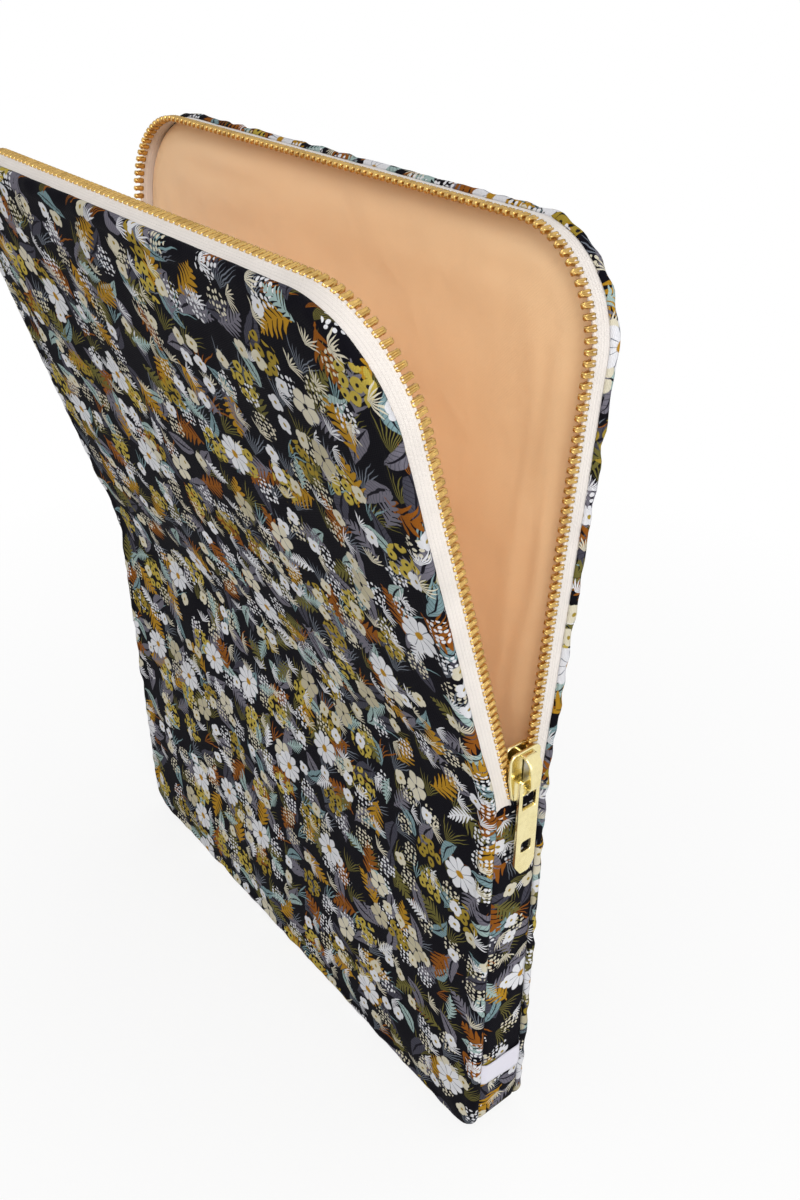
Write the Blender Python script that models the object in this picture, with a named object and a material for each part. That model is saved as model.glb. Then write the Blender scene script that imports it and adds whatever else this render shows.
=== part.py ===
"""A padded laptop sleeve that stands on its bottom edge, with its zip half open.

Two padded panels are joined by a gusset round the lower half. A metal zip joins them
round the upper half, where each panel folds outward about a crease at the zip's ends.
Every piece is modelled with the sleeve shut; the two creases then turn the flaps open.

Metres, +Z up, +X to the side with the slider, -Y to the front panel.
"""
import math

import bmesh
import bpy
from mathutils import Matrix, Vector

# The whole sleeve
WIDTH = 0.250
HEIGHT = 0.340
DEPTH = 0.0220
CREASE_HEIGHT = 0.166
BOTTOM_CORNER_RADIUS = 0.012
TOP_CORNER_RADIUS = 0.033
CORNER_STEPS = 8

# Layers of the panels and of the gusset, from the outside in
CLOTH = 0.0006
PANEL_PADDING = 0.0030
GUSSET_PADDING = 0.0020
LINING = 0.0006
CLEARANCE = 0.0003

# How far each flap stands open at rest
FRONT_OPEN = math.radians(15.4)
BACK_OPEN = math.radians(5.1)

# The zip: two tapes, each with a row of teeth on its inner edge
TAPE_THICKNESS = 0.0005
TAPE_INSET = 0.0012
TOOTH_PITCH = 0.0030
TOOTH_THICKNESS = 0.0020
TOOTH_ROOT_WIDTH = 0.0015
TOOTH_TIP_WIDTH = 0.0009
TOOTH_LENGTH = 0.0026
CORD_WIDTH = 0.0008
ROW_SEPARATION = 0.0016
STOP_LENGTH = 0.0034
STOP_WIDTH = 0.0060
TAIL_LENGTH = 0.012
TAIL_WIDTH = 0.012

# The slider and what it carries
SLIDER_START = 0.0020
SLIDER_LENGTH = 0.019
SLIDER_MOUTH_WIDTH = 0.0130
SLIDER_HEEL_WIDTH = 0.0095
SLIDER_CORNER = 0.0022
PLATE_THICKNESS = 0.0012
INNER_PLATE_WIDTH = 0.0100
INNER_PLATE_HEEL = 0.0080
WEDGE_WIDTH = 0.0010
WEDGE_LENGTH = 0.0050
WEDGE_DROP = 0.0015
CROWN_WIDTH = 0.0044
CROWN_THICKNESS = 0.0011
CROWN_ROOM = 0.0038
CROWN_LENGTH = 0.0130
CROWN_DROP = 0.0004
CROWN_CORNER = 0.0022
SPRING_THICKNESS = 0.0002
SPRING_WIDTH = 0.0024
SPRING_LENGTH = 0.0090
PULL_LENGTH = 0.040
PULL_WIDTH = 0.0086
PULL_THICKNESS = 0.0016
PULL_BAR = 0.0018
PULL_STANDOFF = 0.0020
PULL_SEAT = 0.0020
PULL_WINDOW_WIDTH = 0.0058
PULL_WINDOW_LENGTH = 0.0104
PULL_SLOT_DISTANCE = 0.0260
PULL_SLOT_WIDTH = 0.0044
PULL_SLOT_LENGTH = 0.0046
PULL_SHOULDER = 0.0362
PULL_TIP_WIDTH = 0.0036
PULL_CORNER = 0.0014

# Trim
LABEL_HEIGHT = 0.0110
LABEL_FOOT = 0.0290
LABEL_THICKNESS = 0.0005
LABEL_SLANT = math.radians(4.0)
STITCH_DROP = 0.0035
STITCH_PITCH = 0.0026
STITCH_LENGTH = 0.0018
STITCH_THICKNESS = 0.0003
STITCH_MARGIN = 0.0012

# Places that follow from the sizes above
HALF_DEPTH = DEPTH / 2
PANEL_CLOTH_INNER = HALF_DEPTH - CLOTH
PANEL_PADDING_OUTER = PANEL_CLOTH_INNER - CLEARANCE
PANEL_PADDING_INNER = PANEL_PADDING_OUTER - PANEL_PADDING
PANEL_LINING_OUTER = PANEL_PADDING_INNER - CLEARANCE
PANEL_LINING_INNER = PANEL_LINING_OUTER - LINING
GUSSET_PADDING_INSET = CLOTH + CLEARANCE
GUSSET_LINING_INSET = GUSSET_PADDING_INSET + GUSSET_PADDING + CLEARANCE
CREASE_GAP = CLEARANCE / 2
TAPE_INNER_EDGE = ROW_SEPARATION / 2 + TOOTH_LENGTH + CORD_WIDTH + CLEARANCE
PLATE_FACE = TAPE_INSET - TOOTH_THICKNESS / 2 - CLEARANCE
HINGE_Y = HALF_DEPTH - CLOTH / 2
SLIDER_FOOT = CREASE_HEIGHT + SLIDER_START
OUTER_PLATE_X = WIDTH / 2 - PLATE_FACE
CROWN_BASE_X = OUTER_PLATE_X + PLATE_THICKNESS + CLEARANCE
CROWN_TOP = SLIDER_FOOT + SLIDER_LENGTH - CROWN_DROP
CROWN_FOOT = CROWN_TOP - CROWN_LENGTH
PULL_AXIS_X = OUTER_PLATE_X + PLATE_THICKNESS + PULL_STANDOFF
PULL_AXIS_Z = CROWN_FOOT + CROWN_THICKNESS + PULL_SEAT

FRONT = -1
BACK = 1
TOP = 1
BOTTOM = -1


def make_material(name, colour, roughness, metallic=0.0):
    """A plain Principled material."""
    material = bpy.data.materials.new(name)
    material.use_nodes = True
    shader = material.node_tree.nodes["Principled BSDF"]
    shader.inputs["Base Color"].default_value = (*colour, 1.0)
    shader.inputs["Roughness"].default_value = roughness
    shader.inputs["Metallic"].default_value = metallic
    material.diffuse_color = (*colour, 1.0)
    return material


def make_object(name, mesh_builder, look, carrier=None):
    """An object from a bmesh in the shut sleeve's coordinates, carried by an empty."""
    bmesh.ops.recalc_face_normals(mesh_builder, faces=mesh_builder.faces)
    mesh = bpy.data.meshes.new(name)
    mesh_builder.to_mesh(mesh)
    mesh_builder.free()
    part = bpy.data.objects.new(name, mesh)
    bpy.context.collection.objects.link(part)
    mesh.materials.append(make_material(name, *look))
    if carrier is not None:
        mesh.transform(Matrix.Translation(-carrier["shut_place"]))
        part.parent = carrier["empty"]
    return part


def make_carrier(name, place, turn=0.0, parent=None):
    """An empty on a joint's axis, with the place where its pieces are modelled."""
    empty = bpy.data.objects.new(name, None)
    empty.empty_display_size = WIDTH / 20
    bpy.context.collection.objects.link(empty)
    empty.location = place
    empty.rotation_euler = (turn, 0.0, 0.0)
    if parent is not None:
        empty.parent = parent["empty"]
        empty.location = place - parent["shut_place"]
    return {"empty": empty, "shut_place": Vector(place)}


def prism(outline, low, high, axis):
    """A bmesh of an outline extruded between two planes square to Y or to X."""
    builder = bmesh.new()
    if axis == "Y":
        corners = [builder.verts.new((x, low, z)) for x, z in outline]
        travel = Vector((0.0, high - low, 0.0))
    else:
        corners = [builder.verts.new((low, y, z)) for y, z in outline]
        travel = Vector((high - low, 0.0, 0.0))
    face = builder.faces.new(corners)
    sweep = bmesh.ops.extrude_face_region(builder, geom=[face])
    moved = [item for item in sweep["geom"] if isinstance(item, bmesh.types.BMVert)]
    bmesh.ops.translate(builder, verts=moved, vec=travel)
    return builder


def edge_path(inset, level, end):
    """The sleeve's edge, inset, from a level on one side round its top or bottom to the other."""
    radius = (TOP_CORNER_RADIUS if end == TOP else BOTTOM_CORNER_RADIUS) - inset
    side = WIDTH / 2 - inset
    rim = HEIGHT - inset if end == TOP else inset
    turns = [math.pi / 2 * step / CORNER_STEPS for step in range(CORNER_STEPS + 1)]
    near = [
        (side - radius * (1 - math.cos(turn)), rim - end * radius * (1 - math.sin(turn)))
        for turn in turns
    ]
    far = [(-x, z) for x, z in reversed(near)]
    return [(side, level)] + near + far + [(-side, level)]


def half_level(end, shortfall=0.0):
    """The height where a layer stops at the crease, above it or below it."""
    return CREASE_HEIGHT + end * (CREASE_GAP + shortfall)


def sheet(name, inset, outer, inner, side, end, look, carrier=None):
    """A flat layer of one panel, over the upper or the lower half of the sleeve."""
    outline = edge_path(inset, half_level(end), end)
    low, high = sorted((side * outer, side * inner))
    return make_object(name, prism(outline, low, high, "Y"), look, carrier)


def band(name, outer_inset, thickness, near_y, far_y, end, look, carrier=None, shortfall=0.0):
    """A layer that runs round the sleeve's edge, between two depths."""
    level = half_level(end, shortfall)
    outside = edge_path(outer_inset, level, end)
    inside = edge_path(outer_inset + thickness, level, end)
    low, high = sorted((near_y, far_y))
    return make_object(name, prism(outside + inside[::-1], low, high, "Y"), look, carrier)


def combine(part, tool, operation):
    """Joins a tool to a part, or cuts it out, and hides the tool."""
    modifier = part.modifiers.new(tool.name, "BOOLEAN")
    modifier.operation = operation
    modifier.solver = "EXACT"
    modifier.object = tool
    tool.hide_render = True
    tool.display_type = "WIRE"


PRINT_LOOK = ((0.045, 0.045, 0.060), 0.85)
PADDING_LOOK = ((0.80, 0.79, 0.75), 0.95)
LINING_LOOK = ((0.78, 0.52, 0.33), 0.75)
TAPE_LOOK = ((0.86, 0.81, 0.76), 0.90)
BRASS_LOOK = ((0.75, 0.50, 0.18), 0.30, 1.0)
GOLD_LOOK = ((0.86, 0.74, 0.38), 0.20, 1.0)
STEEL_LOOK = ((0.60, 0.60, 0.58), 0.30, 1.0)
LABEL_LOOK = ((0.83, 0.81, 0.86), 0.60)
THREAD_LOOK = ((0.88, 0.88, 0.86), 0.80)


def lower_panel(side, prefix):
    """The lower half of one padded panel: printed cloth, padding and lining."""
    sheet(prefix + "_cloth_lower", 0.0, HALF_DEPTH, PANEL_CLOTH_INNER, side, BOTTOM, PRINT_LOOK)
    sheet(prefix + "_padding_lower", GUSSET_PADDING_INSET, PANEL_PADDING_OUTER,
          PANEL_PADDING_INNER, side, BOTTOM, PADDING_LOOK)
    sheet(prefix + "_lining_lower", GUSSET_LINING_INSET, PANEL_LINING_OUTER,
          PANEL_LINING_INNER, side, BOTTOM, LINING_LOOK)


def upper_panel(side, prefix, carrier):
    """The flap of one panel. Its lining turns up round the padding, to the zip's seam."""
    sheet(prefix + "_cloth_upper", 0.0, HALF_DEPTH, PANEL_CLOTH_INNER, side, TOP,
          PRINT_LOOK, carrier)
    lining_inset = TAPE_INSET + TAPE_THICKNESS / 2 + CLEARANCE
    padding_inset = lining_inset + LINING + CLEARANCE
    sheet(prefix + "_padding_upper", padding_inset, PANEL_PADDING_OUTER, PANEL_PADDING_INNER,
          side, TOP, PADDING_LOOK, carrier)
    lining = sheet(prefix + "_lining_upper", lining_inset, PANEL_LINING_OUTER,
                   PANEL_LINING_INNER, side, TOP, LINING_LOOK, carrier)
    turn_up = band(prefix + "_lining_turn_up", lining_inset, LINING, side * PANEL_PADDING_OUTER,
                   side * PANEL_LINING_INNER, TOP, LINING_LOOK, carrier)
    combine(lining, turn_up, "UNION")


def gusset():
    """The strip that joins the panels round the lower half: cloth, padding and lining."""
    cloth_reach = PANEL_CLOTH_INNER - CLEARANCE
    band("gusset_cloth", 0.0, CLOTH, -cloth_reach, cloth_reach, BOTTOM, PRINT_LOOK)
    padding_reach = PANEL_PADDING_INNER - CLEARANCE
    band("gusset_padding", GUSSET_PADDING_INSET, GUSSET_PADDING, -padding_reach, padding_reach,
         BOTTOM, PADDING_LOOK, shortfall=TAIL_LENGTH + CLEARANCE)
    lining_reach = PANEL_LINING_INNER - CLEARANCE
    band("gusset_lining", GUSSET_LINING_INSET, LINING, -lining_reach, lining_reach, BOTTOM,
         LINING_LOOK)


def chain_spot(distance, row_start):
    """Where the chain's middle is, a distance along it, and the way out of the sleeve there."""
    radius = TOP_CORNER_RADIUS - TAPE_INSET
    side = WIDTH / 2 - TAPE_INSET
    upright = HEIGHT - TOP_CORNER_RADIUS - row_start
    turn_length = radius * math.pi / 2
    top_run = WIDTH - 2 * TOP_CORNER_RADIUS
    total = 2 * upright + 2 * turn_length + top_run
    mirrored = distance > total / 2
    along = total - distance if mirrored else distance
    if along <= upright:
        place = (side, row_start + along)
        outward = (1.0, 0.0)
    elif along <= upright + turn_length:
        turn = (along - upright) / radius
        outward = (math.cos(turn), math.sin(turn))
        place = (side - radius * (1 - outward[0]), row_start + upright + radius * outward[1])
    else:
        place = (side - radius - (along - upright - turn_length), HEIGHT - TAPE_INSET)
        outward = (0.0, 1.0)
    if mirrored:
        place = (-place[0], place[1])
        outward = (-outward[0], outward[1])
    return place, outward, total, (upright, upright + turn_length)


def on_a_bend(start, finish, row_start):
    """Whether a stretch of the chain touches one of the two top corners."""
    _, _, total, (first, last) = chain_spot(0.0, row_start)
    near_bend = finish > first and start < last
    far_bend = finish > total - last and start < total - first
    return near_bend or far_bend


def teeth_row(name, side, offset, carrier):
    """One row of teeth on its cord, as one toothed strip bent round the flap's edge."""
    row_start = CREASE_HEIGHT + CREASE_GAP
    total = chain_spot(0.0, row_start)[2]
    usable = total - 2 * offset - STOP_LENGTH - CLEARANCE
    count = int(usable / TOOTH_PITCH)
    base = ROW_SEPARATION / 2 + TOOTH_LENGTH + CORD_WIDTH
    root = ROW_SEPARATION / 2 + TOOTH_LENGTH
    tip = ROW_SEPARATION / 2
    builder = bmesh.new()
    made = {}

    def corner(distance, depth, level):
        key = (round(distance, 7), round(depth, 7), level)
        if key not in made:
            place, outward, _, _ = chain_spot(distance, row_start)
            lift = level * TOOTH_THICKNESS / 2
            made[key] = builder.verts.new(
                (place[0] + lift * outward[0], side * depth, place[1] + lift * outward[1])
            )
        return made[key]

    def tooth_profile(tooth):
        """One tooth's outline, from the valley before it to the valley after it."""
        middle = offset + (tooth + 0.5) * TOOTH_PITCH
        return [(middle - TOOTH_ROOT_WIDTH / 2, root), (middle - TOOTH_TIP_WIDTH / 2, tip),
                (middle + TOOTH_TIP_WIDTH / 2, tip), (middle + TOOTH_ROOT_WIDTH / 2, root)]

    def add_stretch(first, last, bent):
        """The strip between two valleys: toothed faces, one whole or in quads on a bend."""
        start = offset + first * TOOTH_PITCH
        finish = offset + last * TOOTH_PITCH
        profile = [(start, root)]
        for tooth in range(first, last):
            profile += tooth_profile(tooth)
        profile.append((finish, root))
        columns = [start, finish]
        if bent:
            columns = [distance for distance, depth in profile if depth == root]
            caps = [[(one, base), (one, root), (other, root), (other, base)]
                    for one, other in zip(columns, columns[1:])]
            caps += [tooth_profile(tooth) for tooth in range(first, last)]
        else:
            caps = [[(start, base)] + profile + [(finish, base)]]
        for level in (-1, 1):
            for cap in caps:
                builder.faces.new([corner(*point, level) for point in cap])
        edges = list(zip(profile, profile[1:]))
        edges += [((other, base), (one, base)) for one, other in zip(columns, columns[1:])]
        if first == 0:
            edges.append(((start, base), (start, root)))
        if last == count:
            edges.append(((finish, root), (finish, base)))
        for one, other in edges:
            builder.faces.new(
                [corner(*one, -1), corner(*one, 1), corner(*other, 1), corner(*other, -1)]
            )

    first = 0
    while first < count:
        start = offset + first * TOOTH_PITCH
        last = first + 1
        bent = on_a_bend(start, start + TOOTH_PITCH, row_start)
        while not bent and last < count:
            if on_a_bend(start, offset + (last + 1) * TOOTH_PITCH, row_start):
                break
            last += 1
        add_stretch(first, last, bent)
        first = last
    return make_object(name, builder, BRASS_LOOK, carrier)


def zip_half(side, prefix, offset, carrier):
    """One side of the zip: the tape, its row of teeth and the stop at the row's far end."""
    band(prefix + "_zip_tape", TAPE_INSET - TAPE_THICKNESS / 2, TAPE_THICKNESS,
         side * TAPE_INNER_EDGE, side * PANEL_PADDING_OUTER, TOP, TAPE_LOOK, carrier)
    teeth_row(prefix + "_zip_teeth", side, offset, carrier)
    low, high = sorted((side * ROW_SEPARATION / 2,
                        side * (ROW_SEPARATION / 2 + TOOTH_LENGTH + CORD_WIDTH)))
    far_x = -WIDTH / 2 + TAPE_INSET
    foot = CREASE_HEIGHT + CREASE_GAP
    outline = [
        (far_x - TOOTH_THICKNESS / 2, foot),
        (far_x + TOOTH_THICKNESS / 2, foot),
        (far_x + TOOTH_THICKNESS / 2, foot + STOP_LENGTH),
        (far_x - TOOTH_THICKNESS / 2, foot + STOP_LENGTH),
    ]
    make_object(prefix + "_top_stop", prism(outline, low, high, "Y"), BRASS_LOOK, carrier)


def zip_ends():
    """What the gusset's folded ends hold: the closed tape ends and the bottom stop."""
    inner = TAPE_INSET + TAPE_THICKNESS / 2
    outer = TAPE_INSET - TAPE_THICKNESS / 2
    ceiling = CREASE_HEIGHT - CREASE_GAP
    for name, sense, drop in (("near_zip_tail", 1, STOP_LENGTH + 2 * CLEARANCE),
                              ("far_zip_tail", -1, 0.0)):
        across = sorted((sense * (WIDTH / 2 - inner), sense * (WIDTH / 2 - outer)))
        outline = [
            (-TAIL_WIDTH / 2, ceiling - TAIL_LENGTH),
            (TAIL_WIDTH / 2, ceiling - TAIL_LENGTH),
            (TAIL_WIDTH / 2, ceiling - drop),
            (-TAIL_WIDTH / 2, ceiling - drop),
        ]
        make_object(name, prism(outline, *across, "X"), TAPE_LOOK)
    stop_outer = GUSSET_PADDING_INSET
    across = (WIDTH / 2 - stop_outer - TOOTH_THICKNESS, WIDTH / 2 - stop_outer)
    outline = [
        (-STOP_WIDTH / 2, ceiling - STOP_LENGTH - CLEARANCE),
        (STOP_WIDTH / 2, ceiling - STOP_LENGTH - CLEARANCE),
        (STOP_WIDTH / 2, ceiling - CLEARANCE),
        (-STOP_WIDTH / 2, ceiling - CLEARANCE),
    ]
    make_object("bottom_stop", prism(outline, *across, "X"), BRASS_LOOK)


def rounded(corners, radius, steps=3):
    """A closed outline with each of its corners turned into an arc."""
    outline = []
    for index, corner in enumerate(corners):
        here = Vector(corner)
        before = (Vector(corners[index - 1]) - here).normalized()
        after = (Vector(corners[(index + 1) % len(corners)]) - here).normalized()
        half = before.angle(after) / 2
        centre = here + (before + after).normalized() * radius / math.sin(half)
        first = here + before * radius / math.tan(half) - centre
        last = here + after * radius / math.tan(half) - centre
        start = math.atan2(first.y, first.x)
        sweep = math.remainder(math.atan2(last.y, last.x) - start, 2 * math.pi)
        for step in range(steps + 1):
            angle = start + sweep * step / steps
            outline.append((centre.x + radius * math.cos(angle),
                            centre.y + radius * math.sin(angle)))
    return outline


def slider_plate(name, mouth, heel, low, high, carrier):
    """One plate of the slider, wider at the mouth above than at the heel below."""
    top = SLIDER_FOOT + SLIDER_LENGTH
    shoulder = SLIDER_FOOT + SLIDER_LENGTH / 2
    corners = [(-heel / 2, SLIDER_FOOT), (heel / 2, SLIDER_FOOT), (mouth / 2, shoulder),
               (mouth / 2, top), (-mouth / 2, top), (-mouth / 2, shoulder)]
    outline = rounded(corners, SLIDER_CORNER)
    return make_object(name, prism(outline, low, high, "X"), GOLD_LOOK, carrier)


def slider(carrier):
    """The slider: two plates on a wedge that parts the rows, the crown and its lock spring."""
    body = slider_plate("slider_body", SLIDER_MOUTH_WIDTH, SLIDER_HEEL_WIDTH, OUTER_PLATE_X,
                        OUTER_PLATE_X + PLATE_THICKNESS, carrier)
    inner_face = WIDTH / 2 - TAPE_INSET - TOOTH_THICKNESS / 2 - CLEARANCE
    inner = slider_plate("slider_inner_plate", INNER_PLATE_WIDTH, INNER_PLATE_HEEL,
                         inner_face - PLATE_THICKNESS, inner_face, carrier)
    wedge_top = SLIDER_FOOT + SLIDER_LENGTH - WEDGE_DROP
    corners = [(-WEDGE_WIDTH / 2, wedge_top - WEDGE_LENGTH), (WEDGE_WIDTH / 2, wedge_top - WEDGE_LENGTH),
               (WEDGE_WIDTH / 2, wedge_top), (-WEDGE_WIDTH / 2, wedge_top)]
    wedge = make_object("slider_wedge", prism(corners, inner_face - PLATE_THICKNESS / 2,
                                              OUTER_PLATE_X + PLATE_THICKNESS / 2, "X"),
                        GOLD_LOOK, carrier)
    combine(body, inner, "UNION")
    combine(body, wedge, "UNION")

    def arch(base, reach, foot, top, corner):
        steps = 5
        points = [(base, foot)]
        for turn in range(steps + 1):
            angle = math.pi / 2 * turn / steps
            points.append((reach - corner * (1 - math.sin(angle)),
                           foot + corner * (1 - math.cos(angle))))
        for turn in range(steps + 1):
            angle = math.pi / 2 * turn / steps
            points.append((reach - corner * (1 - math.cos(angle)),
                           top - corner * (1 - math.sin(angle))))
        points.append((base, top))
        return points

    outside_reach = CROWN_BASE_X + CROWN_ROOM + CROWN_THICKNESS
    outside = arch(CROWN_BASE_X, outside_reach, CROWN_FOOT, CROWN_TOP, CROWN_CORNER)
    inside = arch(CROWN_BASE_X, CROWN_BASE_X + CROWN_ROOM, CROWN_FOOT + CROWN_THICKNESS,
                  CROWN_TOP - CROWN_THICKNESS, CROWN_CORNER - CROWN_THICKNESS)
    make_object("slider_crown", prism(outside + inside[::-1], -CROWN_WIDTH / 2,
                                      CROWN_WIDTH / 2, "Y"), GOLD_LOOK, carrier)
    spring_foot = CROWN_FOOT + CROWN_THICKNESS + CLEARANCE
    corners = [(-SPRING_WIDTH / 2, spring_foot), (SPRING_WIDTH / 2, spring_foot),
               (SPRING_WIDTH / 2, spring_foot + SPRING_LENGTH),
               (-SPRING_WIDTH / 2, spring_foot + SPRING_LENGTH)]
    make_object("lock_spring", prism(corners, CROWN_BASE_X, CROWN_BASE_X + SPRING_THICKNESS, "X"),
                STEEL_LOOK, carrier)


def pull_tab(carrier):
    """The pull: a flat tab that hangs by its top bar inside the crown."""
    top = PULL_AXIS_Z + PULL_BAR / 2
    tip = top - PULL_LENGTH
    shoulder = top - PULL_SHOULDER
    low = PULL_AXIS_X - PULL_THICKNESS / 2
    high = PULL_AXIS_X + PULL_THICKNESS / 2
    corners = [(-PULL_TIP_WIDTH / 2, tip), (PULL_TIP_WIDTH / 2, tip), (PULL_WIDTH / 2, shoulder),
               (PULL_WIDTH / 2, top), (-PULL_WIDTH / 2, top), (-PULL_WIDTH / 2, shoulder)]
    tab = make_object("pull_tab", prism(rounded(corners, PULL_CORNER), low, high, "X"),
                      GOLD_LOOK, carrier)
    windows = (("pull_window", top - PULL_BAR, PULL_WINDOW_LENGTH, PULL_WINDOW_WIDTH),
               ("pull_slot", top - PULL_SLOT_DISTANCE, PULL_SLOT_LENGTH, PULL_SLOT_WIDTH))
    for name, head, length, width in windows:
        corners = [(-width / 2, head - length), (width / 2, head - length),
                   (width / 2, head), (-width / 2, head)]
        opening = make_object(name, prism(rounded(corners, PULL_CORNER / 2), low - CLEARANCE,
                                          high + CLEARANCE, "X"), GOLD_LOOK, carrier)
        combine(tab, opening, "DIFFERENCE")


def side_label():
    """The ribbon label across the gusset, caught in both seams, with nothing on it."""
    reach = PANEL_CLOTH_INNER - CLEARANCE
    rise = reach * math.tan(LABEL_SLANT)
    outline = [(-reach, LABEL_FOOT + rise), (reach, LABEL_FOOT - rise),
               (reach, LABEL_FOOT + LABEL_HEIGHT - rise),
               (-reach, LABEL_FOOT + LABEL_HEIGHT + rise)]
    low = WIDTH / 2 + CLEARANCE
    make_object("side_label", prism(outline, low, low + LABEL_THICKNESS, "X"), LABEL_LOOK)


def hem_stitching(name, sense):
    """The row of topstitches that holds one folded end of the gusset."""
    reach = PANEL_CLOTH_INNER - CLEARANCE - STITCH_MARGIN
    count = int(2 * reach / STITCH_PITCH)
    base = WIDTH / 2 + CLEARANCE
    profile = [(-count * STITCH_PITCH / 2, base)]
    crest = base + 2 * STITCH_THICKNESS
    valley = base + STITCH_THICKNESS
    for stitch in range(count):
        middle = (stitch + 0.5 - count / 2) * STITCH_PITCH
        profile.append((middle - STITCH_PITCH / 2, valley))
        profile.append((middle - STITCH_LENGTH / 2, valley))
        profile.append((middle - STITCH_LENGTH / 2, crest))
        profile.append((middle + STITCH_LENGTH / 2, crest))
        profile.append((middle + STITCH_LENGTH / 2, valley))
    profile.append((count * STITCH_PITCH / 2, valley))
    profile.append((count * STITCH_PITCH / 2, base))
    height = CREASE_HEIGHT - STITCH_DROP
    builder = bmesh.new()
    loops = []
    for level in (height - STITCH_THICKNESS / 2, height + STITCH_THICKNESS / 2):
        loops.append([builder.verts.new((sense * x, y, level)) for y, x in profile])
    for loop in loops:
        builder.faces.new(loop)
    for index in range(len(profile)):
        follow = (index + 1) % len(profile)
        builder.faces.new([loops[0][index], loops[0][follow], loops[1][follow],
                           loops[1][index]])
    make_object(name, builder, THREAD_LOOK)


def main():
    """Builds the sleeve, standing on its bottom edge with both flaps open."""
    for item in list(bpy.data.objects):
        bpy.data.objects.remove(item, do_unlink=True)
    front_crease = make_carrier("front_crease", Vector((0.0, -HINGE_Y, CREASE_HEIGHT)), FRONT_OPEN)
    back_crease = make_carrier("back_crease", Vector((0.0, HINGE_Y, CREASE_HEIGHT)), -BACK_OPEN)
    slider_place = make_carrier("slider_place", Vector((WIDTH / 2, 0.0, SLIDER_FOOT)))
    pull_pivot = make_carrier("pull_pivot", Vector((PULL_AXIS_X, 0.0, PULL_AXIS_Z)), 0.0,
                              slider_place)
    for side, prefix, carrier, offset in ((FRONT, "front", front_crease, 0.0),
                                          (BACK, "back", back_crease, TOOTH_PITCH / 2)):
        lower_panel(side, prefix)
        upper_panel(side, prefix, carrier)
        zip_half(side, prefix, offset, carrier)
    gusset()
    zip_ends()
    slider(slider_place)
    pull_tab(pull_pivot)
    side_label()
    hem_stitching("near_hem_stitching", 1)
    hem_stitching("far_hem_stitching", -1)
    bpy.context.view_layer.update()


main()
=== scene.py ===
"""A printed, padded laptop sleeve with its metal zip half open, dressed over its solids."""

import math

import bpy
import numpy as np
from bpy.props import FloatProperty, FloatVectorProperty, IntProperty, PointerProperty
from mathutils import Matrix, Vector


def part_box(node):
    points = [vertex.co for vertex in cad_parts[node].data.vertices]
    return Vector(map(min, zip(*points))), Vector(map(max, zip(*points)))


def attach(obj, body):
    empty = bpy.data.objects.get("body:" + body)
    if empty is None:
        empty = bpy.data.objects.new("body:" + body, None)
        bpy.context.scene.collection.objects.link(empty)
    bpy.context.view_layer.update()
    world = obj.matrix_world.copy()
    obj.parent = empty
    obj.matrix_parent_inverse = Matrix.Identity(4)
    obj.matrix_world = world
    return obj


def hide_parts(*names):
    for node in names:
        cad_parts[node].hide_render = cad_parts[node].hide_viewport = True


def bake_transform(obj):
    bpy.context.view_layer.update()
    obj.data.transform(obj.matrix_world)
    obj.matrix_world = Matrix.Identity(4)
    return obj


bl_info = {
    "name": "Printed Laptop Sleeve",
    "version": (1, 0, 0),
    "blender": (4, 5, 0),
    "location": "3D View > Sidebar > Sleeve",
    "description": "Makes the cloth, zip and trim of a padded laptop sleeve",
    "category": "Object",
}

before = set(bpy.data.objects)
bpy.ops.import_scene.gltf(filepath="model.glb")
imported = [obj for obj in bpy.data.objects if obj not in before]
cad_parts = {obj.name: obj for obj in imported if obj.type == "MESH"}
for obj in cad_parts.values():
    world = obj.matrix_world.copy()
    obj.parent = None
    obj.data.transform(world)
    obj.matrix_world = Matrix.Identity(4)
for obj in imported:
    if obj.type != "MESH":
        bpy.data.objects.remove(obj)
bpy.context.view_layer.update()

# The sleeve, in metres, as its solids have it
WIDTH = 0.250
HEIGHT = 0.340
CREASE = 0.166
BOTTOM_RADIUS = 0.012
TOP_RADIUS = 0.033
HALF_DEPTH = 0.011
HINGE_Y = 0.0107
BEND_LOW, BEND_HIGH = 0.142, 0.196
FRONT, BACK = -1, 1
OPEN = {FRONT: math.radians(15.4), BACK: math.radians(5.1)}
FLAP = {FRONT: "front_flap", BACK: "back_flap"}
PREFIX = {FRONT: "front", BACK: "back"}

# How far from the middle plane a panel's inner face and the linings lie
INNER_FACE = 0.0071
LINING_LEVEL = 0.0063
# Half widths across the gusset: its cover, its lining and the closed tape ends on it
COVER_HALF = 0.0106
STRIP_HALF = 0.0066
TAIL_HALF = 0.0058
# Where the print starts on the back panel and on the gusset, so that no two pieces match
BACK_PRINT = (0.37, 0.11)
GUSSET_PRINT = (0.61, 0.52)

# The zip
TAPE_INSET = 0.0012
PITCH = 0.0030
CHAIN_START = CREASE + 0.00015
STOP_LENGTH = 0.0034
PLATE_X = WIDTH / 2 + 0.0001
INNER_PLATE_X = 0.1213
PLATE_THICK = 0.0012
SLIDER_FOOT = 0.168
SLIDER_TOP = 0.187

# The label and the topstitches
LABEL_LOW = 0.0290
LABEL_HALF = 0.0103
LABEL_WIDTH = 0.0110
LABEL_SLOPE = math.tan(math.radians(4.0))
STITCH_COUNT = 7
STITCH_STEP = 0.0026
STITCH_HALF = 0.0009
STITCH_LEVEL = CREASE - 0.0035

# Greatest depth of the small dimples and of the settled folds in a panel, and how far its
# rim swells outward
DIMPLE = 0.00028
FOLD_LIMIT = 0.0009
RIM_SWELL = 0.0006

# The floor, just under the sleeve
FLOOR_LEVEL = -0.0002
FLOOR_HALF = 4.0

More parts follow.
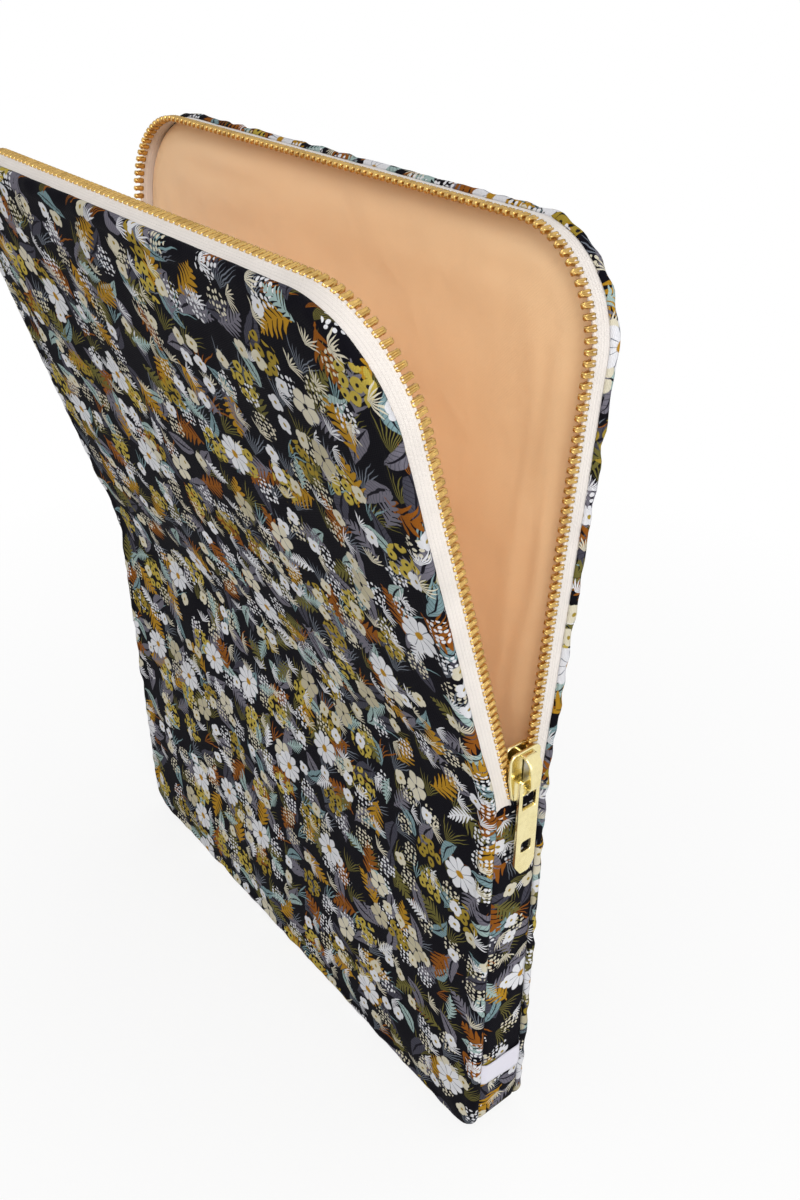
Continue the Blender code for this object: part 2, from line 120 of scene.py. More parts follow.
# The camera, fitted to the photographed sleeve: place, turn round Z and tilt
CAMERA_PLACE = (0.3199, -0.2048, 0.4158)
CAMERA_TURN = math.radians(51.36)
CAMERA_TILT = math.radians(31.97)
AIM_POINT = (0, 0, 0.18)


# ---------------------------------------------------------------- shapes in numpy
def smooth(value, low, high):
    """Runs from 0 at low to 1 at high along 3t^2 - 2t^3."""
    t = np.clip((value - low) / (high - low), 0.0, 1.0)
    return t * t * (3 - 2 * t)


def opened(points, side, stiff=False):
    """Turns the shut sleeve's points outward about the crease.

    The angle is the flap's own opening times a weight: 1 above the crease on a stiff
    piece, and on cloth the smooth step of the height that the point ends at, which is
    found by four rounds of turning and measuring again."""
    y, z = points[..., 1] - side * HINGE_Y, points[..., 2] - CREASE
    weight = np.ones_like(z) if stiff else smooth(z, BEND_LOW - CREASE, BEND_HIGH - CREASE)
    for _ in range(4):
        angle = weight * OPEN[side]
        new_y = y * np.cos(angle) + side * z * np.sin(angle)
        new_z = z * np.cos(angle) - side * y * np.sin(angle)
        if stiff:
            break
        weight = smooth(new_z, BEND_LOW - CREASE, BEND_HIGH - CREASE)
    return np.stack([points[..., 0], new_y + side * HINGE_Y, new_z + CREASE], -1)


def outline(step):
    """The sleeve's edge as points (x, z) and outward directions, one every step metres.

    Straight runs and quarter circles in turn, anticlockwise from the middle of the
    bottom: a point of a quarter circle is its centre plus radius times the direction."""
    side, rb, rt = WIDTH / 2, BOTTOM_RADIUS, TOP_RADIUS
    runs = [
        ((0, 0), (side - rb, 0), (0, -1)),
        ((side - rb, rb), rb, -90),
        ((side, rb), (side, HEIGHT - rt), (1, 0)),
        ((side - rt, HEIGHT - rt), rt, 0),
        ((side - rt, HEIGHT), (rt - side, HEIGHT), (0, 1)),
        ((rt - side, HEIGHT - rt), rt, 90),
        ((-side, HEIGHT - rt), (-side, rb), (-1, 0)),
        ((rb - side, rb), rb, 180),
        ((rb - side, 0), (0, 0), (0, -1)),
    ]
    spots, ways = [], []
    for start, finish, way in runs:
        start = np.array(start, float)
        if isinstance(finish, tuple):
            finish = np.array(finish, float)
            count = max(2, int(np.linalg.norm(finish - start) / step))
            t = np.arange(count)[:, None] / count
            spots.append(start + (finish - start) * t)
            ways.append(np.tile(np.array(way, float), (count, 1)))
        else:
            count = max(6, int(finish * math.pi / 2 / step * 1.6))
            turn = np.radians(way) + np.arange(count) / count * math.pi / 2
            out = np.stack([np.cos(turn), np.sin(turn)], -1)
            spots.append(start + finish * out)
            ways.append(out)
    return np.concatenate(spots), np.concatenate(ways)


def stretch_of_edge(end, step, tuck=0.0):
    """The part of the edge above the crease (end 1) or below it (end -1), as one path.

    Both its ends lie on the crease's level, or past it by the tuck."""
    spots, ways = outline(step)
    if end > 0:
        kept = spots[:, 1] > CREASE - tuck
    else:
        top = np.argmax(spots[:, 1])
        spots, ways = np.roll(spots, -top, 0)[::-1], np.roll(ways, -top, 0)[::-1]
        kept = spots[:, 1] < CREASE + tuck
    spots, ways = spots[kept], ways[kept]
    level = CREASE - end * tuck
    ends = np.array([[spots[0, 0], level], [spots[-1, 0], level]])
    return (np.concatenate([ends[:1], spots, ends[1:]]),
            np.concatenate([ways[:1], ways, ways[-1:]]))


def edge_frame(spots, ways):
    """Centres, the across axis (+Y) and the outward axis of a path in the plane y = 0."""
    centres = np.stack([spots[:, 0], np.zeros(len(spots)), spots[:, 1]], -1)
    outward = np.stack([ways[:, 0], np.zeros(len(ways)), ways[:, 1]], -1)
    across = np.tile([0.0, 1.0, 0.0], (len(spots), 1))
    return centres, across, outward


def run_length(points):
    """Distance along a path of points, from its first."""
    steps = np.linalg.norm(np.diff(points, axis=0), axis=1)
    return np.concatenate([[0.0], np.cumsum(steps)])


def depth_from_edge(x, z):
    """How far inside the outline a point is: the least of its distances to the four sides,
    or in a corner's square the radius less the distance to the corner's centre."""
    radius = np.where(z > HEIGHT / 2, TOP_RADIUS, BOTTOM_RADIUS)
    inner_x = np.abs(x) - (WIDTH / 2 - radius)
    inner_z = np.where(z > HEIGHT / 2, z - (HEIGHT - radius), radius - z)
    corner = radius - np.hypot(np.maximum(inner_x, 0), np.maximum(inner_z, 0))
    plain = np.minimum(WIDTH / 2 - np.abs(x), np.minimum(z, HEIGHT - z))
    return np.where((inner_x > 0) & (inner_z > 0), corner, plain)


def ripple(u, v, seed, shortest, longest, count=14):
    """A sum of sine waves of seeded directions, lengths and phases, between about -1 and 1."""
    dice = np.random.default_rng(seed)
    total = np.zeros(np.broadcast_shapes(np.shape(u), np.shape(v)))
    for _ in range(count):
        turn, phase = dice.uniform(0, 2 * math.pi, 2)
        wave = dice.uniform(shortest, longest)
        total += np.sin((u * math.cos(turn) + v * math.sin(turn)) / wave * 2 * math.pi + phase)
    return total / math.sqrt(count) / 1.4


def ring_of(count, power=1.0):
    """A ring of points (cosine, sine), drawn out to a rounded square by a power below 1."""
    turn = (np.arange(count) + 0.5) / count * 2 * math.pi
    wave = np.stack([np.cos(turn), np.sin(turn)], -1)
    return np.sign(wave) * np.abs(wave) ** power


def grid_faces(rows, columns, closed=False, start=0):
    """Corner numbers of the quads of a grid of vertices numbered row by row.

    On a closed grid the last column joins the first."""
    r, c = np.meshgrid(np.arange(rows - 1), np.arange(columns if closed else columns - 1),
                       indexing="ij")
    r, c = start + r.ravel() * columns, c.ravel()
    c2 = (c + 1) % columns
    return np.stack([r + c, r + c2, r + columns + c2, r + columns + c], -1)


def tube_faces(rows, columns):
    """Corner numbers of a tube of closed rings, with a face over each of its ends."""
    ring = np.arange(columns)[None]
    return [grid_faces(rows, columns, closed=True), ring[:, ::-1], (rows - 1) * columns + ring]


def fan(ring, middle):
    """Corner numbers of the triangles from a closed ring of vertices to one in the middle."""
    return np.stack([ring, np.roll(ring, -1), np.full(len(ring), middle)], -1)


def volume(points, faces):
    """Six times the volume inside closed faces, below 0 where they point inward.

    The sum of a . (b x c) over their triangles, with the points taken about their middle."""
    points = points - points.mean(0)
    total = 0.0
    for group in faces:
        for corner in range(1, group.shape[1] - 1):
            a, b, c = (points[group[:, one]] for one in (0, corner, corner + 1))
            total += float((a * np.cross(b, c)).sum())
    return total


def turned_round(faces):
    """The same faces seen from their other side."""
    return [group[:, ::-1] for group in faces]


def make_piece(name, points, faces, uv=None, material=None, closed=True, flip=False):
    """An object from vertices, groups of faces and a map. Closed shapes face outward."""
    if flip or (closed and volume(points, faces) < 0):
        faces = turned_round(faces)
    mesh = bpy.data.meshes.new(name)
    mesh.from_pydata(points.tolist(), [], [f for group in faces for f in group.tolist()])
    if uv is not None:
        layer = mesh.uv_layers.new(name="cloth_map")
        corners = np.zeros(len(mesh.loops), int)
        mesh.loops.foreach_get("vertex_index", corners)
        layer.data.foreach_set("uv", uv[corners].astype(np.float32).ravel())
    mesh.shade_smooth()
    piece = bpy.data.objects.new(name, mesh)
    bpy.context.scene.collection.objects.link(piece)
    if material is not None:
        mesh.materials.append(material)
    return piece


def dressed(name, shape, finish, solids, body=None, side=None, **how):
    """A piece of one finish in the place of its solids.

    It rides on its body, or without one keeps the place where it is made. The side is not used."""
    piece = make_piece(name, *shape, material=finish_of(finish), **how)
    if body:
        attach(piece, body)
    else:
        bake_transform(piece)
    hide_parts(*solids)
    return piece


def refinished(node, finish):
    """Gives a solid that is kept as it is one of the finishes."""
    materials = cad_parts[node].data.materials
    materials.clear()
    materials.append(finish_of(finish))


def joined(parts):
    """Several closed shapes without maps as one, with the later ones' numbers moved on."""
    points, faces, start = [], [], 0
    for some_points, some_faces in parts:
        if volume(some_points, some_faces) < 0:
            some_faces = turned_round(some_faces)
        points.append(some_points)
        faces += [group + start for group in some_faces]
        start += len(some_points)
    return np.concatenate(points), faces


def swept(section, centres, across, outward, uv_across=None, along=None):
    """A closed section carried along a path, with its ends shut.

    A point is centre + a * across + b * outward for each section point (a, b)."""
    rows, columns = len(centres), section.shape[-2]
    points = (centres[:, None] + section[..., :1] * across[:, None]
              + section[..., 1:] * outward[:, None]).reshape(-1, 3)
    uv = None
    if along is not None:
        uv = np.stack([np.repeat(along, columns), np.tile(uv_across, rows)], -1)
    return points, tube_faces(rows, columns), uv


def many(template, faces, places, axes):
    """One small shape repeated: point = place + its three coordinates times three axes."""
    points = places[:, None] + np.einsum("mk,nkj->nmj", template, axes)
    starts = np.arange(len(places)) * len(template)
    return points.reshape(-1, 3), [
        (group[None] + starts[:, None, None]).reshape(-1, group.shape[1]) for group in faces]


# ---------------------------------------------------------------- materials
def linear(hexa):
    """A written colour as Blender's linear red, green and blue."""
    parts = [int(hexa[i:i + 2], 16) / 255 for i in (0, 2, 4)]
    return tuple(p / 12.92 if p <= 0.04045 else ((p + 0.055) / 1.055) ** 2.4 for p in parts)


class Wire:
    """A node's output. Arithmetic on it adds a Math node and gives that node's output."""

    def __init__(self, tree, socket):
        self.tree, self.socket = tree, socket

    def __add__(self, other):
        return self.tree.math("ADD", self, other)

    def __sub__(self, other):
        return self.tree.math("SUBTRACT", self, other)

    def __rsub__(self, other):
        return self.tree.math("SUBTRACT", other, self)

    def __mul__(self, other):
        return self.tree.math("MULTIPLY", self, other)

    def __truediv__(self, other):
        return self.tree.math("DIVIDE", self, other)

    def __pow__(self, other):
        return self.tree.math("POWER", self, other)

    def __abs__(self):
        return self.tree.math("ABSOLUTE", self)

    __radd__, __rmul__ = __add__, __mul__


class Inputs:
    """A node's inputs: one that is set by its name is linked or given the value."""

    def __init__(self, node):
        self.node = node

    def __setitem__(self, name, value):
        socket = self.node.inputs[name]
        if isinstance(value, Wire):
            value.tree.tree.links.new(value.socket, socket)
        else:
            if socket.type == "RGBA" and len(value) == 3:
                value = (*value, 1.0)
            socket.default_value = value


class Tree:
    """Adds nodes to one tree and links them."""

    def __init__(self, tree):
        self.tree = tree

    def node(self, kind, settings=(), **inputs):
        made = self.tree.nodes.new(kind)
        for key, value in dict(settings).items():
            setattr(made, key, value)
        for key, value in inputs.items():
            Inputs(made)[key.replace("_", " ")] = value
        return made

    def outputs(self, node):
        return {one.name: Wire(self, one) for one in node.outputs}

    def result(self, kind, settings=(), values=(), output=0, **inputs):
        """One output of a new node whose inputs are set in order or by name."""
        made = self.node(kind, settings, **inputs)
        for place, value in enumerate(values):
            Inputs(made)[place] = value
        return Wire(self, made.outputs[output])

    def math(self, operation, *values, clamp=False):
        return self.result("ShaderNodeMath", {"operation": operation, "use_clamp": clamp}, values)

    def vector(self, operation, *values):
        return self.result("ShaderNodeVectorMath", {"operation": operation}, values,
                           "Value" if operation == "LENGTH" else "Vector")

    def split(self, vector):
        return self.outputs(self.node("ShaderNodeSeparateXYZ", Vector=vector)).values()

    def channels(self, colour):
        return list(self.outputs(self.node("ShaderNodeSeparateColor", Color=colour)).values())

    def xyz(self, x=0.0, y=0.0, z=0.0):
        return self.result("ShaderNodeCombineXYZ", X=x, Y=y, Z=z)

    def below(self, value, limit, soft):
        """1 where value is under limit, falling to 0 over soft."""
        half = soft * 0.5
        return self.result("ShaderNodeMapRange", {"interpolation_type": "SMOOTHSTEP"},
                           (value, limit - half, limit + half, 1.0, 0.0))

    def remap(self, value, low, high, to_low=0.0, to_high=1.0):
        return self.result("ShaderNodeMapRange", (), (value, low, high, to_low, to_high))

    def mix(self, factor, first, second, blend="MIX"):
        made = self.node("ShaderNodeMix", {"data_type": "RGBA", "blend_type": blend},
                         Factor=factor)
        Inputs(made)[6], Inputs(made)[7] = first, second
        return Wire(self, made.outputs[2])

    def tinted(self, colour, tint):
        """A colour times a grey."""
        grey = self.result("ShaderNodeCombineColor", Red=tint, Green=tint, Blue=tint)
        return self.mix(1.0, colour, grey, "MULTIPLY")

    def noise(self, vector, scale, detail=2.0, rough=0.5, flat=False, output="Fac"):
        return self.result("ShaderNodeTexNoise", {"noise_dimensions": "2D" if flat else "3D"},
                           output=output, Vector=vector, Scale=scale, Detail=detail,
                           Roughness=rough)

    def cells(self, vector, scatter):
        """Voronoi cells one unit wide, whose spots stray from the grid by the scatter."""
        return self.outputs(self.node("ShaderNodeTexVoronoi", {"voronoi_dimensions": "2D"},
                                      Vector=vector, Scale=1.0, Randomness=scatter))

    def place(self):
        return self.result("ShaderNodeTexCoord", output="Object")

    def cloth_map(self):
        return self.result("ShaderNodeUVMap", {"uv_map": "cloth_map"})

    def bump(self, height, distance, strength=1.0, **under):
        return self.result("ShaderNodeBump", Height=height, Distance=distance,
                           Strength=strength, **under)

    def group(self, name, **inputs):
        """The outputs of a shared group, placed with its own values."""
        group = bpy.data.node_groups.get(name) or GROUP_MAKERS[name]()
        return self.outputs(self.node("ShaderNodeGroup", {"node_tree": group}, **inputs))


NUMBER, POINT, COLOUR = "NodeSocketFloat", "NodeSocketVector", "NodeSocketColor"
FULL_TURN = 6.283


def new_group(name, inputs, outputs):
    """An empty shader group: its tree, its inputs as wires and its outputs to be set.

    An input is given by its kind of socket, or by the number that it starts from."""
    group = bpy.data.node_groups.new(name, "ShaderNodeTree")
    for label, value in inputs.items():
        kind = value if isinstance(value, str) else NUMBER
        socket = group.interface.new_socket(label, in_out="INPUT", socket_type=kind)
        if kind != value:
            socket.default_value = value
    for label, kind in outputs.items():
        group.interface.new_socket(label, in_out="OUTPUT", socket_type=kind)
    tree = Tree(group)
    entry, leave = tree.node("NodeGroupInput"), tree.node("NodeGroupOutput")
    return tree, tree.outputs(entry), Inputs(leave)


def motif_places_group():
    """Scattered spots: local place in metres, turned at random, and two random numbers."""
    t, i, o = new_group("motif_places", {"Map": POINT, "Spacing": 0.016, "Scatter": 0.4,
                                         "Shift": 0.0, "Turn": 1.0},
                        {"Local": POINT, "Chance": NUMBER, "Tone": NUMBER})
    moved = t.vector("ADD", i["Map"], t.xyz(i["Shift"], i["Shift"] * 1.7))
    cells = t.vector("DIVIDE", moved, t.xyz(i["Spacing"], i["Spacing"], 1.0))
    spots = t.cells(cells, i["Scatter"])
    local = t.vector("SUBTRACT", cells, spots["Position"])
    local = t.vector("MULTIPLY", local, t.xyz(i["Spacing"], i["Spacing"]))
    o["Chance"], o["Tone"], turn = t.channels(spots["Color"])
    o["Local"] = t.result("ShaderNodeVectorRotate", {"rotation_type": "Z_AXIS"}, Vector=local,
                          Angle=turn * FULL_TURN * i["Turn"])
    return t.tree


def blossom_group():
    """A round flower: lobes from the cosine of the angle, a core and darker petal lines."""
    t, i, o = new_group("blossom", {"Local": POINT, "Radius": 0.006, "Lobes": 5.0,
                                    "Notch": 0.25, "Core": 0.2},
                        {"Mask": NUMBER, "Core Mask": NUMBER, "Line": NUMBER})
    x, y, _ = t.split(i["Local"])
    reach = t.vector("LENGTH", i["Local"]) / i["Radius"]
    wave = abs(t.math("COSINE", t.math("ARCTAN2", y, x) * (i["Lobes"] * 0.5)))
    edge = 1.0 - i["Notch"] * (1.0 - wave ** 0.55)
    o["Mask"] = t.below(reach, edge, 0.08)
    o["Core Mask"] = t.below(reach, i["Core"], 0.08)
    o["Line"] = t.below(wave, 0.16, 0.16) * t.below(reach, 0.85, 0.3)
    return t.tree


def leaf_group():
    """A bowed leaf: |y - bow x^2| under the width times 1 - (x / length)^2, with veins."""
    t, i, o = new_group("leaf", {"Local": POINT, "Length": 0.007, "Width": 0.0025,
                                 "Bow": 40.0}, {"Mask": NUMBER, "Vein": NUMBER})
    x, y, _ = t.split(i["Local"])
    off = abs(y - i["Bow"] * (x * x))
    share = x / i["Length"]
    half = i["Width"] * ((1.0 - share * share) * (1.0 - share * 0.35))
    o["Mask"] = t.below(off, half, 0.0003)
    comb = abs(t.math("FRACT", x * 620.0 - off * 520.0) - 0.5)
    veins = t.below(comb, 0.09, 0.1) * 0.55
    o["Vein"] = t.math("MAXIMUM", t.below(off, half * 0.14, 0.0002), veins)
    return t.tree


def sprig_group():
    """A twig: a thin bowed stem with slanted leaflets at even steps on both its sides."""
    t, i, o = new_group("sprig", {"Local": POINT, "Length": 0.008, "Width": 0.004,
                                  "Step": 0.0022, "Bow": 25.0, "Fill": 0.30}, {"Mask": NUMBER})
    x, y, _ = t.split(i["Local"])
    off = abs(y - i["Bow"] * (x * x))
    share = abs(x / i["Length"])
    inside = t.below(share, 1.0, 0.04)
    stem = t.below(off, 0.00022, 0.0002) * inside
    rise = (x - off * 0.8) / i["Step"]
    comb = abs(t.math("FRACT", rise) - 0.5)
    out = off / (i["Width"] * (1.0 - share ** 1.6))
    leaflets = t.below(comb, i["Fill"] * (1.15 - out ** 2.0), 0.12) * t.below(out, 1.0, 0.1)
    o["Mask"] = t.math("MULTIPLY", t.math("MAXIMUM", stem, leaflets), inside, clamp=True)
    return t.tree


def cluster_group():
    """Small round dots, each with an eye, that fill a ragged round patch."""
    t, i, o = new_group("cluster", {"Local": POINT, "Map": POINT, "Radius": 0.005,
                                    "Dot": 0.0022, "Share": 0.36},
                        {"Mask": NUMBER, "Eye": NUMBER})
    cells = t.vector("DIVIDE", i["Map"], t.xyz(i["Dot"], i["Dot"], 1.0))
    spots = t.cells(cells, 0.45)
    reach = t.vector("LENGTH", i["Local"]) / i["Radius"]
    patch = t.below(reach + t.channels(spots["Color"])[0] * 0.35, 1.05, 0.02)
    o["Mask"] = t.below(spots["Distance"], i["Share"], 0.08) * patch
    o["Eye"] = t.below(spots["Distance"], i["Share"] * 0.3, 0.06)
    return t.tree


def blades_group():
    """A fan of tapering blades: stripes of the angle round a foot, thinner further out."""
    t, i, o = new_group("blades", {"Local": POINT, "Length": 0.010, "Count": 30.0,
                                   "Spread": 0.9, "Fill": 0.55}, {"Mask": NUMBER})
    foot = t.vector("ADD", i["Local"], t.xyz(0.0, i["Length"] * 0.5))
    x, y, _ = t.split(foot)
    angle = t.math("ARCTAN2", x - y * y * 22.0, y)
    comb = angle * (i["Count"] / FULL_TURN)
    number = t.math("FLOOR", comb)
    jag = t.math("FRACT", t.math("SINE", number * 12.99) * 43.7)
    share = t.vector("LENGTH", foot) / i["Length"] / (0.62 + jag * 0.38)
    half = i["Fill"] * (0.5 * (1.0 - share ** 2.0))
    mask = t.below(abs(comb - number - 0.5), half, 0.1) * t.below(abs(angle), i["Spread"], 0.05)
    o["Mask"] = mask * t.below(share, 1.0, 0.05)
    return t.tree


def weave_group():
    """Threads over and under in a slanted order: a height, and a painted shade from it."""
    t, i, o = new_group("weave", {"Map": POINT, "Thread": 0.0004, "Twill": 1.0},
                        {"Height": NUMBER, "Shade": NUMBER})
    cells = t.vector("DIVIDE", i["Map"], t.xyz(i["Thread"], i["Thread"], 1.0))
    u, v, _ = t.split(cells)
    rib_u, rib_v = (abs(t.math("SINE", one * math.pi)) for one in (u, v))
    order = t.math("FLOOR", u) + t.math("FLOOR", v) * i["Twill"]
    over = t.math("GREATER_THAN", t.math("FRACT", order * 0.3334), 0.4)
    height = over * rib_u + (1.0 - over) * (rib_v * 0.8)
    fuzz = t.noise(cells, 0.35, 3.0, 0.6, flat=True)
    o["Height"] = height * (0.6 + fuzz * 0.8)
    # Painted shade: darker where the threads dip between each other, a little lighter on their
    # tops
    o["Shade"] = t.remap(height, 0.0, 1.0, 0.86, 1.05)
    return t.tree


def metal_group():
    """Cast and rubbed metal: tarnish in patches, fine scratches and a mottled polish."""
    t, i, o = new_group("worn_metal", {"Place": POINT, "Bright": COLOUR, "Dull": COLOUR,
                                       "Polish": 0.2, "Tarnish": 0.4},
                        {"Color": COLOUR, "Roughness": NUMBER, "Height": NUMBER})
    patch = t.noise(i["Place"], 260.0, 4.0, 0.65)
    fine = t.noise(i["Place"], 2400.0, 2.0, 0.6)
    scratch = t.noise(t.vector("MULTIPLY", i["Place"], (1.0, 6.0, 0.5)), 1900.0, 2.0, 0.7)
    wear = t.math("MULTIPLY", t.remap(patch, 0.42, 0.66), i["Tarnish"], clamp=True)
    o["Color"] = t.mix(wear, i["Bright"], i["Dull"])
    o["Roughness"] = i["Polish"] + patch * 0.14 + fine * 0.06
    o["Height"] = scratch * 0.4 + fine
    return t.tree


def ageing_group():
    """Slow patches of lighter and darker cloth, as handling and light leave it."""
    t, i, o = new_group("ageing", {"Map": POINT, "Scale": 30.0, "Amount": 0.1},
                        {"Shade": NUMBER})
    slow = t.noise(i["Map"], i["Scale"], 3.0, 0.55, flat=True)
    o["Shade"] = 1.0 + (slow - 0.5) * (i["Amount"] * 2.0)
    return t.tree


GROUP_MAKERS = {
    "motif_places": motif_places_group, "blossom": blossom_group, "leaf": leaf_group,
    "sprig": sprig_group, "cluster": cluster_group, "blades": blades_group,
    "weave": weave_group, "worn_metal": metal_group, "ageing": ageing_group,
}

# The print's colours
PAINTS = {key: linear(value) for key, value in dict(
    slate="6c727c", teal="7b969b", olive="6a6434", rust="8c521a", mauve="716e79",
    dusk="45444f", mist="9db3b0", ochre="9c8532", cream="d2cbb6", white="dcdce0",
    amber="ad8124", shadow="1a1820", sand="bcb398", sulphur="b5a046").items()}
# The print's layers from the lowest up: spacing of the spots, share of them that carry the
# motif, shift of the grid, motif, its two colours, colours of its details, other values
PRINT_LAYERS = (
    (0.0150, 0.74, 0.013, "blades", "slate", "olive", {},
     dict(Turn=0.12, Length=0.0135, Count=36.0, Spread=0.75)),
    (0.0185, 0.50, 0.171, "blades", "teal", "rust", {},
     dict(Turn=0.14, Length=0.0150, Count=26.0, Spread=0.5)),
    (0.0170, 0.62, 0.301, "leaf", "mauve", "dusk", {"Vein": "shadow"},
     dict(Length=0.0082, Width=0.0032, Bow=28.0)),
    (0.0200, 0.50, 0.417, "leaf", "mist", "teal", {"Vein": "shadow"},
     dict(Length=0.0074, Width=0.0024, Bow=40.0)),
    (0.0205, 0.54, 0.533, "sprig", "rust", "amber", {},
     dict(Length=0.0092, Width=0.0052, Step=0.0027, Fill=0.36)),
    (0.0180, 0.44, 0.587, "sprig", "olive", "mauve", {},
     dict(Length=0.0080, Width=0.0045, Step=0.0022, Fill=0.34)),
    (0.0130, 0.52, 0.659, "cluster", "white", "cream", {},
     dict(Scatter=0.55, Radius=0.0052, Dot=0.0019, Share=0.33)),
    (0.0190, 0.25, 0.741, "cluster", "ochre", "sulphur", {"Eye": "shadow"},
     dict(Scatter=0.5, Radius=0.0074, Dot=0.0046, Share=0.44)),
    (0.0110, 0.42, 0.791, "blades", "white", "cream", {},
     dict(Turn=0.3, Length=0.0066, Count=22.0, Spread=1.1, Fill=0.8)),
    (0.0195, 0.30, 0.827, "sprig", "white", "mist", {},
     dict(Length=0.0066, Width=0.0032, Step=0.0017, Fill=0.34)),
    (0.0078, 0.15, 0.911, "blossom", "cream", "white", {"Core Mask": "ochre"},
     dict(Scatter=0.3, Radius=0.0031, Lobes=4.0, Notch=0.30, Core=0.22)),
    (0.0215, 0.19, 1.073, "blossom", "cream", "sand",
     {"Line": "mauve", "Core Mask": "shadow"},
     dict(Radius=0.0056, Lobes=5.0, Notch=0.38, Core=0.16)),
    (0.0265, 0.24, 1.187, "blossom", "white", "white",
     {"Line": "slate", "Core Mask": "amber"},
     dict(Radius=0.0072, Lobes=9.0, Notch=0.34, Core=0.22)),
)


def fresh_material(name, roughness=0.7, metallic=0.0, **more):
    """A Principled material, its tree and its shader's inputs."""
    material = bpy.data.materials.new(name + "_finish")
    material.use_nodes = True
    shader = Inputs(material.node_tree.nodes["Principled BSDF"])
    shader["Roughness"], shader["Metallic"] = roughness, metallic
    for key, value in more.items():
        shader[key.replace("_", " ")] = value
    return material, Tree(material.node_tree), shader


def printed_cotton(colours):
    """Dark cotton with a dense scatter of small flowers, leaves, twigs, dots and blades.

    Each layer has its own spots, its own motif and its own share of spots that carry one."""
    material, t, shader = fresh_material("printed_cotton", 0.86, Specular_IOR_Level=0.04)
    flat_map = t.cloth_map()
    wobble = t.noise(flat_map, 260.0, 1.0, flat=True, output="Color")
    shake = t.vector("SUBTRACT", wobble, (0.5, 0.5, 0.5))
    drawn = t.vector("ADD", flat_map, t.vector("MULTIPLY", shake, (0.0011, 0.0011, 0.0)))
    shade = tuple(colours.ground)
    for spacing, share, shift, motif, first, second, details, values in PRINT_LAYERS:
        sizes = dict(values)
        spots = t.group("motif_places", Map=drawn, Spacing=spacing, Shift=shift,
                        Scatter=sizes.pop("Scatter", 0.4), Turn=sizes.pop("Turn", 1.0))
        if motif == "cluster":
            sizes["Map"] = drawn
        shape = t.group(motif, Local=spots["Local"], **sizes)
        picked = t.math("LESS_THAN", spots["Chance"], share)
        paint = t.mix(t.math("GREATER_THAN", spots["Tone"], 0.5), PAINTS[first], PAINTS[second])
        for output, colour in details.items():
            paint = t.mix(shape[output], paint, PAINTS[colour])
        shade = t.mix(shape["Mask"] * picked, shade, paint)
    weave = t.group("weave", Map=flat_map, Thread=0.00042)
    aged = t.group("ageing", Map=flat_map, Scale=22.0, Amount=0.16)
    # The weave's painted shade darkens the print between its threads; the ageing adds slow random
    # patches
    shader["Base Color"] = t.tinted(shade, weave["Shade"] * aged["Shade"])
    shader["Roughness"] = t.remap(aged["Shade"], 0.8, 1.2, 0.74, 0.88)
    crumple = t.bump(t.noise(flat_map, 90.0, 3.0, 0.5, flat=True), 0.0007, 0.35)
    shader["Normal"] = t.bump(weave["Height"], 0.00012, 0.8, Normal=crumple)
    return material


def lining_cotton(colours):
    """Plain tan lining: fine weave, long soft creases beside the zip, slightly glossy."""
    material, t, shader = fresh_material("lining_cotton", 0.55, Sheen_Weight=0.1,
                                         Specular_IOR_Level=0.4)
    flat_map = t.cloth_map()
    weave = t.group("weave", Map=flat_map, Thread=0.00035, Twill=2.0)
    aged = t.group("ageing", Map=flat_map, Scale=14.0, Amount=0.10)
    # Painted shade from the weave's height, darker between the threads, times slow random patches
    tint = t.remap(weave["Height"], 0.0, 1.2, 0.95, 1.03) * aged["Shade"]
    shader["Base Color"] = t.tinted(tuple(colours.lining), tint)
    shader["Roughness"] = t.remap(aged["Shade"], 0.85, 1.15, 0.36, 0.52)
    crumple = t.bump(t.noise(flat_map, 38.0, 3.0, 0.5, flat=True), 0.0022, 0.45)
    shader["Normal"] = t.bump(weave["Height"], 0.00007, 0.6, Normal=crumple)
    return material


def tape_cotton(colours):
    """Cream zip tape: fine ribs along it, a herringbone of short threads, painted shade in their
    hollows, soft grime.
    """
    material, t, shader = fresh_material("zip_tape", 0.86, Sheen_Weight=0.15)
    flat_map = t.cloth_map()
    weave = t.group("weave", Map=flat_map, Thread=0.00048, Twill=1.0)
    aged = t.group("ageing", Map=flat_map, Scale=60.0, Amount=0.08)
    _, v, _ = t.split(flat_map)
    ribs = abs(t.math("SINE", v * (math.pi / 0.0011)))
    # Painted shade: the colour darkens between the threads and in the troughs of the ribs
    tint = t.remap(weave["Height"], 0.0, 1.2, 0.93, 1.02) * aged["Shade"]
    shader["Base Color"] = t.tinted(tuple(colours.tape),
                                    tint * t.remap(ribs, 0.0, 1.0, 0.94, 1.0))
    shader["Normal"] = t.bump(weave["Height"] + ribs * 0.8, 0.00014, 0.8)
    return material


def metal(name, bright, dull, polish, tarnish):
    """A plated or brass metal with the shared wear."""
    material, t, shader = fresh_material(name, polish, 1.0)
    worn = t.group("worn_metal", Place=t.place(), Bright=bright, Dull=linear(dull),
                   Polish=polish, Tarnish=tarnish)
    shader["Base Color"] = worn["Color"]
    shader["Roughness"] = worn["Roughness"]
    shader["Normal"] = t.bump(worn["Height"], 0.00002, 0.5)
    return material


